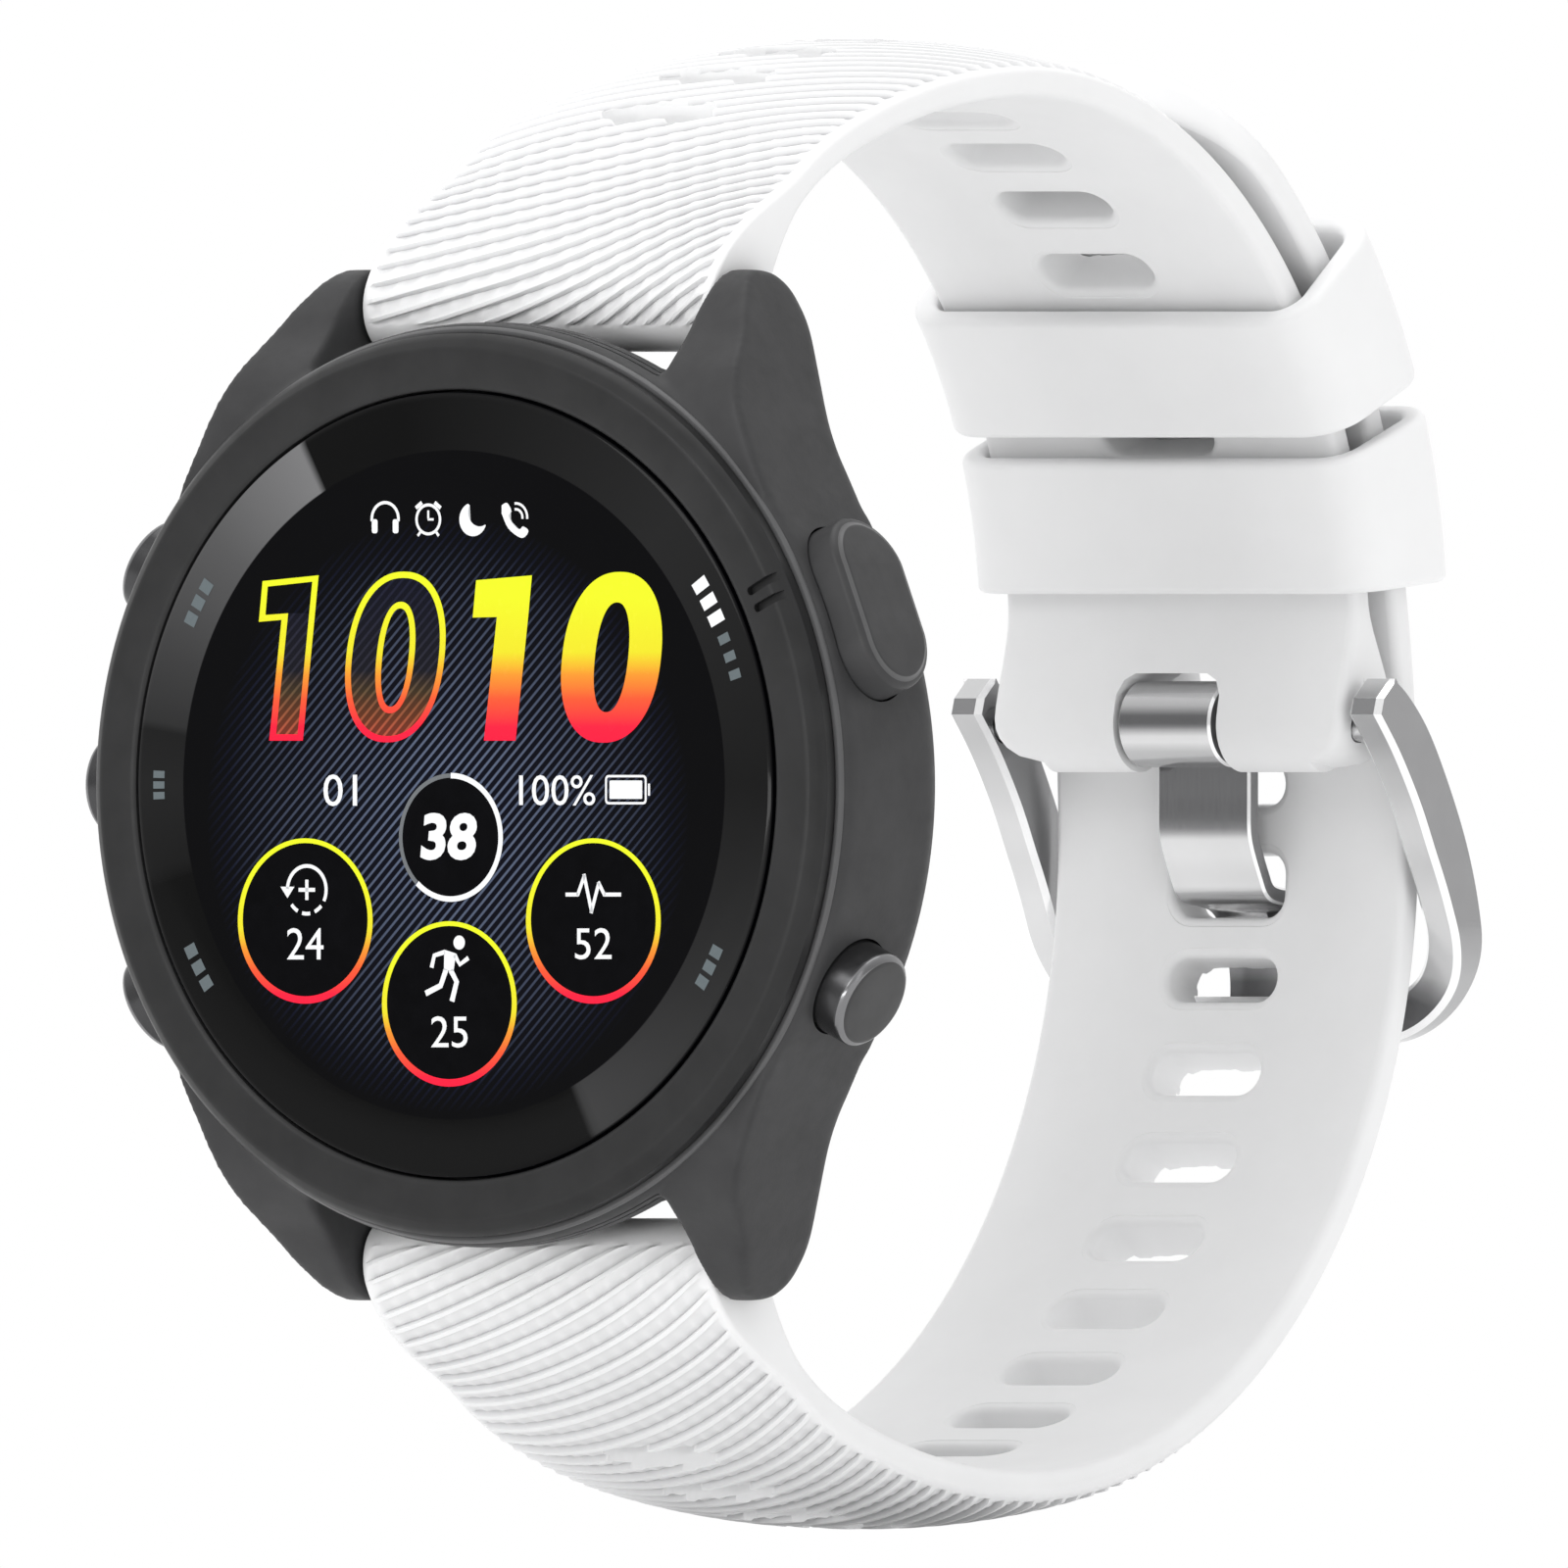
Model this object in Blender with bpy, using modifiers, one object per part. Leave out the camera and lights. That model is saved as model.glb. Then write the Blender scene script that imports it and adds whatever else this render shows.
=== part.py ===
"""GPS running watch on a buckled silicone strap, as an assembly of separate pieces.

Frame: +Z towards twelve o'clock, -Y out of the watch glass, +X towards the
start button.  The origin is the centre of the flat sensor window that lies
against the wrist.  Sizes below are millimetres and become metres through MM.
"""
import math

import bmesh
import bpy
from mathutils import Matrix, Vector

for old in list(bpy.data.objects):
    bpy.data.objects.remove(old, do_unlink=True)

MM = 0.001

# ---------------------------------------------------------------- dimensions
WATCH_T = 12.9            # glass to sensor window
CASE_R = 23.6             # outer wall of the case
BEZEL_R = 23.05
LENS_R = 19.85
DISPLAY_R = 17.8
CASE_IN_R = 20.6
STEPS = 48                # segments of the large turned pieces

LUG_W = 22.4              # clear width between a pair of lugs
BAR_D, BAR_Z = 9.5, 24.5  # spring bar: depth behind the glass, height
BUTTON_D = 5.2            # depth of the button row
BUTTON_FACE_R = 25.4
BUTTON_R = 2.6
BUTTON_CAP_H = 2.5
POCKET_GAP = 0.3
START_ANGLE = 21.3
START_L, START_W = 10.0, 5.6
ROUND_BUTTONS = {"back": -26.0, "light": 153.5, "up": 180.0, "down": 206.5}

STRAP_W = 22.0
STRAP_T = 2.8             # at the crown of the domed section
EDGE_T = 1.45             # at the two long edges
NOSE_R = 2.4              # rolled ends round the bars
OVER_C = (35.3, 7.4)      # centre of the arc in which the two straps overlap
SHORT_IN_R = 27.7         # wrist side of the short strap on that arc
LAY_GAP = 0.3             # between the two layers
LOW_C = (35.2, -2.9)      # centre of the arc of the long strap
LOW_IN_R = 32.1
LUG_ARC_R = 18.0          # tight bend of each strap next to its lug
FRONT_ARC_R = 44.0        # flat run from there to the crown
BUCKLE_BAR = (63.75, 3.1)
TAIL_END = 64.0           # degrees on the overlap arc
SLOT_L, SLOT_H, SLOT_PITCH = 6.8, 2.3, 5.2
TONGUE_W = 5.8
TONGUE_T = 0.9
KEEPER_SWEEP = 14.4       # degrees along the strap
KEEPER_ANGLES = {"keeper_lower": 13.9, "keeper_upper": 31.6}
KEEPER_WALL = 1.25
KEEPER_W = 25.4
FRAME_HALF, FRAME_LEG = 13.6, 2.0


def wy(depth):
    """World Y of a depth behind the front of the glass."""
    return depth - WATCH_T


# ---------------------------------------------------------------- materials
def material(name, colour, rough=0.5, metal=0.0, alpha=1.0):
    m = bpy.data.materials.new(name)
    m.use_nodes = True
    b = m.node_tree.nodes["Principled BSDF"]
    b.inputs["Base Color"].default_value = (*colour, 1)
    b.inputs["Roughness"].default_value = rough
    b.inputs["Metallic"].default_value = metal
    b.inputs["Alpha"].default_value = alpha
    return m


CASE = material("case_polymer", (0.075, 0.075, 0.08), 0.55)
BEZEL = material("bezel_polymer", (0.05, 0.05, 0.053), 0.42)
GLASS = material("lens_glass", (0.01, 0.01, 0.012), 0.06, 0.0, 0.6)
SCREEN = material("display_black", (0.004, 0.004, 0.006), 0.25)
BOARD = material("board_green", (0.02, 0.13, 0.06), 0.5)
CELL = material("cell_foil", (0.45, 0.46, 0.48), 0.4, 0.6)
STEEL = material("steel", (0.62, 0.62, 0.63), 0.22, 1.0)
RUBBER = material("seal_rubber", (0.015, 0.015, 0.015), 0.8)
SILICONE = material("silicone", (0.86, 0.86, 0.87), 0.55)
BRASS = material("contact_gold", (0.75, 0.55, 0.2), 0.3, 1.0)
DARKMETAL = material("button_metal", (0.06, 0.06, 0.065), 0.25, 0.8)
CERAMIC = material("antenna_ceramic", (0.7, 0.68, 0.6), 0.6)

# -------------------------------------------------------------- collections
PARTS = bpy.data.collections.new("gps_running_watch")
CUTTERS = bpy.data.collections.new("cutters")
bpy.context.scene.collection.children.link(PARTS)
bpy.context.scene.collection.children.link(CUTTERS)


def adopt(ob, name, mat=None, coll=PARTS):
    ob.name = name
    ob.data.name = name
    for c in list(ob.users_collection):
        c.objects.unlink(ob)
    coll.objects.link(ob)
    ob.data.materials.clear()
    if mat is not None:
        ob.data.materials.append(mat)
    if coll is CUTTERS:
        ob.hide_render = True
        ob.display_type = "WIRE"
    return ob


def smooth(ob, angle=35):
    me = ob.data
    for p in me.polygons:
        p.use_smooth = True
    me.set_sharp_from_angle(angle=math.radians(angle))
    return ob


def mesh_object(name, bm, mat=None, coll=PARTS):
    me = bpy.data.meshes.new(name)
    bm.to_mesh(me)
    bm.free()
    ob = bpy.data.objects.new(name, me)
    bpy.context.scene.collection.objects.link(ob)
    return adopt(ob, name, mat, coll)


def frame_at(origin, z_dir, x_dir):
    """Matrix placing local +Z along z_dir and local +X along x_dir."""
    z = Vector(z_dir).normalized()
    x = Vector(x_dir)
    x = (x - z * x.dot(z)).normalized()
    y = z.cross(x)
    m = Matrix((x, y, z)).transposed().to_4x4()
    m.translation = Vector(origin) * MM
    return m


FRONT = frame_at((0, 0, 0), (0, -1, 0), (1, 0, 0))   # turned pieces of the case


def radial(angle, dist, depth=BUTTON_D):
    a = math.radians(angle)
    n = Vector((math.cos(a), 0, math.sin(a)))
    return frame_at(n * dist + Vector((0, wy(depth), 0)), n, (-n.z, 0, n.x))


def along_x(depth, height, x=0.0):
    """Local +Z along world +X, local +X along world +Z."""
    return frame_at((x, wy(depth), height), (1, 0, 0), (0, 0, 1))


# ------------------------------------------------------------------ builders
def turned(name, profile, place, mat=None, steps=STEPS, ring=False, coll=PARTS, bake=False):
    """Screw a profile of (radius, height) points, listed down the outer side."""
    bm = bmesh.new()
    vs = [bm.verts.new((r * MM, 0, z * MM)) for r, z in profile]
    for a, b in zip(vs, vs[1:]):
        bm.edges.new((a, b))
    if ring:
        bm.edges.new((vs[-1], vs[0]))
    ob = mesh_object(name, bm, mat, coll)
    ob.matrix_world = place
    s = ob.modifiers.new("turn", "SCREW")
    s.axis = "Z"
    s.angle = 2 * math.pi
    s.steps = steps
    s.render_steps = steps
    s.use_merge_vertices = True
    s.merge_threshold = 0.000002
    s.use_smooth_shade = True
    if bake:
        ob = baked(ob)
    return ob


def cased(points):
    """Profile given as (radius, depth behind the glass) for the FRONT frame."""
    return [(r, WATCH_T - d) for r, d in points]


def baked(ob):
    """Apply an object's modifiers, or turn a curve into a mesh."""
    deps = bpy.context.evaluated_depsgraph_get()
    deps.update()
    me = bpy.data.meshes.new_from_object(ob.evaluated_get(deps))
    bm = bmesh.new()
    bm.from_mesh(me)
    bmesh.ops.remove_doubles(bm, verts=bm.verts, dist=0.000002)
    bmesh.ops.recalc_face_normals(bm, faces=bm.faces)
    bm.to_mesh(me)
    bm.free()
    name, mw, coll = ob.name, ob.matrix_world.copy(), ob.users_collection[0]
    mat = ob.data.materials[0] if ob.data.materials else None
    bpy.data.objects.remove(ob, do_unlink=True)
    new = bpy.data.objects.new(name, me)
    bpy.context.scene.collection.objects.link(new)
    new.matrix_world = mw
    return adopt(new, name, mat, coll)


def outline(name, loops, half, place, mat=None, coll=PARTS):
    """Flat outline in local XY, extruded half each way along local Z."""
    cu = bpy.data.curves.new(name, "CURVE")
    cu.dimensions = "2D"
    cu.fill_mode = "BOTH"
    cu.extrude = half * MM
    for pts in loops:
        sp = cu.splines.new("POLY")
        sp.points.add(len(pts) - 1)
        for p, (x, y) in zip(sp.points, pts):
            p.co = (x * MM, y * MM, 0, 1)
        sp.use_cyclic_u = True
    ob = bpy.data.objects.new(name, cu)
    bpy.context.scene.collection.objects.link(ob)
    adopt(ob, name, mat, coll)
    ob.matrix_world = place
    return baked(ob)


def box(name, size, place, mat=None, coll=PARTS):
    bm = bmesh.new()
    bmesh.ops.create_cube(bm, size=1.0)
    bmesh.ops.scale(bm, vec=Vector(size) * MM, verts=bm.verts)
    ob = mesh_object(name, bm, mat, coll)
    ob.matrix_world = place
    return ob


def rod(name, r, z0, z1, place, mat=None, coll=PARTS, n=16):
    bm = bmesh.new()
    bmesh.ops.create_cone(bm, cap_ends=True, segments=n, radius1=r * MM, radius2=r * MM,
                          depth=(z1 - z0) * MM)
    bmesh.ops.translate(bm, vec=(0, 0, (z0 + z1) / 2 * MM), verts=bm.verts)
    ob = mesh_object(name, bm, mat, coll)
    ob.matrix_world = place
    return ob


def loft(name, sections, mat=None, inner=None, origin=(0, 0, 0), coll=PARTS):
    """Skin matching loops of points; with inner loops it becomes a sleeve."""
    bm = bmesh.new()
    o = Vector(origin)
    rows = [[bm.verts.new((Vector(p) - o) * MM) for p in s] for s in sections]
    n = len(rows[0])

    def skin(rs, flip):
        for a, b in zip(rs, rs[1:]):
            for i in range(n):
                q = (a[i], a[(i + 1) % n], b[(i + 1) % n], b[i])
                bm.faces.new(q[::-1] if flip else q)

    skin(rows, False)
    if inner is None:
        bm.faces.new(rows[0][::-1])
        bm.faces.new(rows[-1])
    else:
        ins = [[bm.verts.new((Vector(p) - o) * MM) for p in s] for s in inner]
        skin(ins, True)
        for end in (0, -1):
            for i in range(n):
                j = (i + 1) % n
                q = (rows[end][i], rows[end][j], ins[end][j], ins[end][i])
                bm.faces.new(q)
    bmesh.ops.recalc_face_normals(bm, faces=bm.faces)
    ob = mesh_object(name, bm, mat, coll)
    ob.location = o * MM
    return ob


def boolean(ob, cutter, op="DIFFERENCE"):
    m = ob.modifiers.new(op.lower(), "BOOLEAN")
    m.operation = op
    m.solver = "EXACT"
    m.object = cutter
    return ob


def bevel(ob, width, segments=1, angle=40):
    m = ob.modifiers.new("edges", "BEVEL")
    m.width = width * MM
    m.segments = segments
    m.limit_method = "ANGLE"
    m.angle_limit = math.radians(angle)
    m.use_clamp_overlap = True
    return ob


def rounded_rect(w, h, r, n=4, cx=0.0, cy=0.0):
    pts = []
    for qx, qy, a0 in ((1, 1, 0), (-1, 1, 90), (-1, -1, 180), (1, -1, 270)):
        for i in range(n + 1):
            a = math.radians(a0 + 90 * i / n)
            pts.append((cx + qx * (w / 2 - r) + r * math.cos(a),
                        cy + qy * (h / 2 - r) + r * math.sin(a)))
    return pts


def smooth_line(points, per=4):
    """Catmull-Rom curve through 2D points."""
    p = [points[0]] + list(points) + [points[-1]]
    out = []
    for i in range(1, len(p) - 2):
        for k in range(per):
            t = k / per
            out.append(tuple(
                0.5 * (2 * p[i][c] + (p[i + 1][c] - p[i - 1][c]) * t
                       + (2 * p[i - 1][c] - 5 * p[i][c] + 4 * p[i + 1][c] - p[i + 2][c]) * t * t
                       + (3 * p[i][c] - p[i - 1][c] - 3 * p[i + 1][c] + p[i + 2][c]) * t ** 3)
                for c in (0, 1)))
    out.append(tuple(points[-1]))
    return out


# ---------------------------------------------------------------- strap path
class Chain:
    """Tangent arcs in the (depth, height) plane, walked by arc length."""

    def __init__(self, start, heading, arcs):
        self.segs = []
        x, z = start
        s = 0.0
        h = heading
        for radius, turn in arcs:
            sign = 1 if turn > 0 else -1
            cx, cz = x - sign * radius * math.sin(h), z + sign * radius * math.cos(h)
            length = radius * abs(turn)
            self.segs.append((s, length, cx, cz, radius, h, sign))
            h += turn
            x, z = cx + sign * radius * math.sin(h), cz - sign * radius * math.cos(h)
            s += length
        self.length = s

    def at(self, s):
        """Point and heading; straight on past either end."""
        for seg in self.segs:
            if s <= seg[0] + seg[1] or seg is self.segs[-1]:
                break
        s0, length, cx, cz, radius, h0, sign = seg
        t = min(max(s - s0, 0.0), length)
        h = h0 + sign * t / radius
        x, z = cx + sign * radius * math.sin(h), cz - sign * radius * math.cos(h)
        extra = (s - s0) - t
        return x + extra * math.cos(h), z + extra * math.sin(h), h


def two_arcs(bar, crown, r_small, r_big):
    """Sweeps of the small and big arcs from the bar to a level crown."""
    cbx, cbz = crown[0], crown[1] - r_big
    dx, dz = bar[0] - cbx, bar[1] - cbz
    dist = math.hypot(dx, dz)
    m = r_big - r_small
    beta = math.acos((dist * dist + m * m - r_small * r_small) / (2 * dist * m))
    a_dir = math.atan2(dz, dx) - beta
    csx, csz = cbx + m * math.cos(a_dir), cbz + m * math.sin(a_dir)
    a_bar = math.atan2(bar[1] - csz, bar[0] - csx)
    return a_bar - a_dir, a_dir - math.pi / 2, a_bar - math.pi / 2


HALF_T = STRAP_T / 2
SHORT_R = SHORT_IN_R + HALF_T
bar_phi = math.atan2(BUCKLE_BAR[1] - OVER_C[1], BUCKLE_BAR[0] - OVER_C[0])
sweep_small, sweep_big, head = two_arcs((BAR_D, BAR_Z), (OVER_C[0], OVER_C[1] + SHORT_R),
                                        LUG_ARC_R, FRONT_ARC_R)
SHORT = Chain((BAR_D, BAR_Z), head, [(LUG_ARC_R, -sweep_small), (FRONT_ARC_R, -sweep_big),
                                     (SHORT_R, -(math.pi / 2 - bar_phi))])

LOW_R = LOW_IN_R + HALF_T
TAIL_R = SHORT_IN_R + STRAP_T + LAY_GAP + HALF_T
sweep_small, sweep_big, head = two_arcs((BAR_D, BAR_Z), (LOW_C[0], -LOW_C[1] + LOW_R),
                                        LUG_ARC_R, FRONT_ARC_R)
rise_x = LOW_C[0] + LOW_R - OVER_C[0]
rise_z = LOW_C[1] - OVER_C[1]
RISE_R = ((rise_x ** 2 + rise_z ** 2) - TAIL_R ** 2) / (2 * (rise_x - TAIL_R))
join_phi = math.atan2(-rise_z, RISE_R - rise_x)
LONG = Chain((BAR_D, -BAR_Z), -head, [(LUG_ARC_R, sweep_small), (FRONT_ARC_R, sweep_big),
                                      (LOW_R, math.pi / 2), (RISE_R, join_phi),
                                      (TAIL_R, math.radians(TAIL_END) - join_phi)])


def ease(t):
    t = min(max(t, 0.0), 1.0)
    return t * t * (3 - 2 * t)


def strap_section(chain, s, side, out_c, out_e, inn, half_w):
    """Loop of points across the strap. side is +1 where the outer face lies
    to the left of the walking direction, -1 where it lies to the right."""
    x, z, h = chain.at(s)
    nx, nz = -math.sin(h) * side, math.cos(h) * side
    pts = []

    def put(w, off):
        pts.append((w, wy(x + nx * off), z + nz * off))

    r_in = min(0.55, (inn + out_e) * 0.3)
    put(-half_w, -inn + r_in)
    put(-half_w + r_in, -inn)
    put(half_w - r_in, -inn)
    put(half_w, -inn + r_in)
    for k in range(7):
        u = 1 - k / 3.0                      # +1 .. -1 across the outer face
        put(u * half_w, out_e + (out_c - out_e) * (1 - abs(u) ** 2.2))
    return pts


def strap(name, chain, side, stations, profile, mat):
    secs = [strap_section(chain, s, side, *profile(s)) for s in stations]
    return loft(name, secs, mat)


def lug_end(s):
    """Offsets of the rolled end at the lug: crown, edge, inner, half width."""
    if s < 0:
        r = math.sqrt(max(NOSE_R ** 2 - s * s, 0.0))
        return r, r, r
    k = ease(s / 9.0)
    return (NOSE_R + (HALF_T - NOSE_R) * k,
            NOSE_R + (EDGE_T - HALF_T - NOSE_R) * k,
            NOSE_R + (HALF_T - NOSE_R) * k)


def short_profile(s):
    w = STRAP_W / 2
    if s < 12:
        return (*lug_end(s), w)
    rest = SHORT.length - s
    if rest < 0:
        r = math.sqrt(max(NOSE_R ** 2 - rest * rest, 0.0))
        return r, r, r, w - ease(-rest / NOSE_R) * 1.2
    k = ease(rest / 6.5)
    return (NOSE_R + (HALF_T - NOSE_R) * k, NOSE_R + (EDGE_T - HALF_T - NOSE_R) * k,
            NOSE_R + (HALF_T - NOSE_R) * k, w)


TIP_L = 9.0


def long_profile(s):
    w = STRAP_W / 2
    if s < 12:
        return (*lug_end(s), w)
    rest = LONG.length - s
    if rest < TIP_L:                         # rounded plan of the free end
        u = 1 - rest / TIP_L
        w = (STRAP_W / 2) * math.sqrt(max(1 - u ** 2.4, 0.0)) + 0.0
        w = max(w, 2.6)
        lift = HALF_T - (HALF_T - (EDGE_T - HALF_T)) * (w / (STRAP_W / 2)) ** 2.2
        return HALF_T - 0.25 * u, min(lift, HALF_T - 0.3), HALF_T, w
    return HALF_T, EDGE_T - HALF_T, HALF_T, w


def spaced(a, b, n):
    return [a + (b - a) * i / n for i in range(n)]


nose_in = [-NOSE_R * math.cos(math.radians(a)) for a in (8, 30, 52, 74)]
short_stations = nose_in + spaced(0, 12, 6) + spaced(12, SHORT.length - 6.5, 18) \
    + spaced(SHORT.length - 6.5, SHORT.length, 4) \
    + [SHORT.length + NOSE_R * math.sin(math.radians(a)) for a in (0, 20, 40, 60, 82)]
long_stations = nose_in + spaced(0, 12, 6) + spaced(12, LONG.length - TIP_L, 30) \
    + [LONG.length - TIP_L * (1 - math.sin(math.radians(a))) for a in (0, 18, 36, 54, 72, 85)]

strap_upper = strap("strap_upper", SHORT, 1, short_stations, short_profile, SILICONE)
strap_lower = strap("strap_lower", LONG, -1, long_stations, long_profile, SILICONE)


def slot_cutter(name, chain, s, height=SLOT_H):
    x, z, h = chain.at(s)
    place = frame_at((0, wy(x), z), (0, -math.sin(h), math.cos(h)), (1, 0, 0))
    return outline(name, [rounded_rect(SLOT_L, height, min(height, SLOT_H) / 2 - 0.02, 2)],
                   4.0, place, None, CUTTERS)


def join_cutters(name, cutters):
    """One cutter object out of several that stand clear of each other."""
    bm = bmesh.new()
    for c in cutters:
        me = c.data
        me.transform(c.matrix_world)
        bm.from_mesh(me)
        bpy.data.objects.remove(c, do_unlink=True)
    return mesh_object(name, bm, None, CUTTERS)


def arc_s(chain, index, angle):
    """Arc length where segment `index` of the chain points at a centre angle."""
    s0, length, cx, cz, radius, h0, sign = chain.segs[index]
    x0, z0, _ = chain.at(s0)
    a0 = math.atan2(z0 - cz, x0 - cx)
    turn = (math.radians(angle) - a0) * sign
    return s0 + turn * radius


# slots of the short strap: twelve along the front run and the overlap arc
first = arc_s(SHORT, 2, 21.9)
upper_slots = [slot_cutter("us%d" % i, SHORT, first - i * SLOT_PITCH) for i in range(11)]
boolean(strap_upper, join_cutters("cut_upper_slots", upper_slots))

# slots of the long strap; the one that holds the tongue is stretched taller
tongue_s = arc_s(LONG, 2, -4.3)
s_first = arc_s(LONG, 2, -3.7)
lower_slots = [slot_cutter("ls%d" % i, LONG, s_first - i * SLOT_PITCH) for i in range(1, 12)]
lower_slots += [slot_cutter("lt%d" % i, LONG, s_first + i * SLOT_PITCH) for i in range(1, 8)]
lower_slots.append(slot_cutter("tongue_slot", LONG, tongue_s, 3.6))
boolean(strap_lower, join_cutters("cut_lower_slots", lower_slots))

# bores for the two spring bars and the buckle bar
for ob, zsign in ((strap_upper, 1), (strap_lower, -1)):
    boolean(ob, rod("cut_%s_bar" % ob.name, 1.25, -12, 12, along_x(BAR_D, zsign * BAR_Z),
                    None, CUTTERS, 12))
boolean(strap_upper, rod("cut_buckle_bar", 1.25, -12, 12, along_x(*BUCKLE_BAR), None, CUTTERS, 12))
# notch in which the tongue turns
boolean(strap_upper, box("cut_notch", (2 * (TONGUE_W / 2 + 0.35), 8, 7.5),
                         Matrix.Translation(Vector((0, wy(BUCKLE_BAR[0]), 5.7 - 3.75)) * MM),
                         None, CUTTERS))
# finger notches for the quick-release knobs, on the wrist side
KNOB_X = 6.3
for ob, zsign in ((strap_upper, 1), (strap_lower, -1)):
    boolean(ob, box("cut_%s_knob" % ob.name, (4.6, 5.0, 2.2),
                    Matrix.Translation(Vector((KNOB_X - 0.6, wy(BAR_D + 2.5), zsign * (BAR_Z - 0.2))) * MM),
                    None, CUTTERS))

# ------------------------------------------------------------------- keepers
def keeper_sections(angle, r_lo, r_hi, width, corner, n=3, steps=4):
    secs = []
    for k in range(steps + 1):
        a = math.radians(angle + KEEPER_SWEEP * (k / steps - 0.5))
        er = (math.cos(a), math.sin(a))
        sec = []
        for w, rr in rounded_rect(width, r_hi - r_lo, corner, n, 0.0, (r_hi + r_lo) / 2):
            sec.append((w, wy(OVER_C[0] + er[0] * rr), OVER_C[1] + er[1] * rr))
        secs.append(sec)
    return secs


K_LO = SHORT_IN_R - 0.3
K_HI = SHORT_IN_R + 2 * STRAP_T + LAY_GAP + 0.35
for kname, kang in KEEPER_ANGLES.items():
    loft(kname,
         keeper_sections(kang, K_LO - KEEPER_WALL, K_HI + KEEPER_WALL, KEEPER_W, 1.9),
         SILICONE,
         inner=keeper_sections(kang, K_LO, K_HI, KEEPER_W - 2 * KEEPER_WALL, 0.75),
         origin=(0, wy(OVER_C[0]), OVER_C[1]))

# -------------------------------------------------------------------- buckle
SIDE_OUT = [(63.0, 5.5), (64.5, 4.5), (66.2, 2.75), (67.9, 0.1), (69.4, -2.8),
            (70.4, -5.6), (70.95, -8.4), (71.0, -10.8), (70.8, -13.6)]
SIDE_IN = [(69.3, -13.6), (69.3, -10.6), (68.5, -8.2), (67.4, -5.6), (66.2, -3.3),
           (64.9, -0.9), (63.2, 1.6), (61.5, 3.6)]


def side_place(x):
    """Outline drawn as (depth, height), extruded along world X."""
    return frame_at((x, wy(0), 0), (1, 0, 0), (0, 1, 0))


side = smooth_line(SIDE_OUT, 2) + smooth_line(SIDE_IN, 2) + [(61.7, 4.35)]
buckle_frame = outline("buckle_frame", [side], FRAME_HALF, side_place(0), STEEL)
plan_out = [(-FRAME_HALF, 7.0), (-FRAME_HALF, -7.2)]
for i in range(1, 6):
    a = math.radians(180 + 90 * i / 6)
    plan_out.append((-FRAME_HALF + 6.0 + 6.0 * math.cos(a), -7.2 + 6.0 * math.sin(a)))
plan_out += [(-FRAME_HALF + 6.0, -13.2)]
plan_out += [(-x, z) for x, z in reversed(plan_out)]
win = FRAME_HALF - FRAME_LEG
plan_in = [(-win, -8.4), (-win + 1.0, -10.0), (-win + 2.6, -10.8)]
plan_in += [(-x, z) for x, z in reversed(plan_in)]
u_shape = plan_out + [(win, 7.0)] + plan_in[::-1] + [(-win, 7.0)]
plan_place = frame_at((0, wy(66), 0), (0, -1, 0), (1, 0, 0))
boolean(buckle_frame, outline("buckle_plan", [u_shape], 8.0, plan_place, None, CUTTERS), "INTERSECT")
boolean(buckle_frame, rod("cut_frame_bar", 1.2, -13.0, 13.0, along_x(*BUCKLE_BAR), None, CUTTERS, 16))
buckle_frame = baked(buckle_frame)


def reorigin(ob, point):
    """Put the object's origin on a joint axis without moving its mesh."""
    p = Vector(point) * MM
    ob.data.transform(ob.matrix_world)
    ob.data.transform(Matrix.Translation(-p))
    ob.matrix_world = Matrix.Translation(p)
    return ob


BAR_POINT = (0, wy(BUCKLE_BAR[0]), BUCKLE_BAR[1])
reorigin(buckle_frame, BAR_POINT)

rod("buckle_bar", 0.9, -12.85, 12.85, along_x(*BUCKLE_BAR), STEEL, n=16)

CURL_R = 2.2 - TONGUE_T / 2
spine = []
for i in range(13):
    a = math.radians(285 - 285 * i / 12)
    spine.append((BUCKLE_BAR[0] + CURL_R * math.cos(a), BUCKLE_BAR[1] + CURL_R * math.sin(a)))
spine += smooth_line([(65.5, 1.0), (65.5, -1.6), (65.75, -3.4), (66.9, -5.15), (68.3, -5.85),
                      (69.9, -6.45), (71.1, -7.7), (71.65, -9.5), (71.75, -11.0), (71.7, -12.4)], 2)


def thick_line(line, t):
    left, right = [], []
    for i, (x, z) in enumerate(line):
        a = line[max(i - 1, 0)]
        b = line[min(i + 1, len(line) - 1)]
        dx, dz = b[0] - a[0], b[1] - a[1]
        n = math.hypot(dx, dz)
        left.append((x - dz / n * t / 2, z + dx / n * t / 2))
        right.append((x + dz / n * t / 2, z - dx / n * t / 2))
    return left + right[::-1]


tongue = outline("buckle_tongue", [thick_line(spine, TONGUE_T)], TONGUE_W / 2, side_place(0), STEEL)
reorigin(tongue, BAR_POINT)
bevel(tongue, 0.15, 1, 50)

# ---------------------------------------------------------------- spring bars
def coil(name, r, wire, x0, x1, turns, place, mat):
    cu = bpy.data.curves.new(name, "CURVE")
    cu.dimensions = "3D"
    cu.bevel_depth = wire * MM
    cu.bevel_resolution = 0
    cu.use_fill_caps = True
    sp = cu.splines.new("POLY")
    n = turns * 6
    sp.points.add(n)
    for i in range(n + 1):
        a = 2 * math.pi * i / 6
        sp.points[i].co = (r * math.cos(a) * MM, r * math.sin(a) * MM,
                           (x0 + (x1 - x0) * i / n) * MM, 1)
    ob = bpy.data.objects.new(name, cu)
    bpy.context.scene.collection.objects.link(ob)
    adopt(ob, name, mat)
    ob.matrix_world = place
    return baked(ob)


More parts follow.
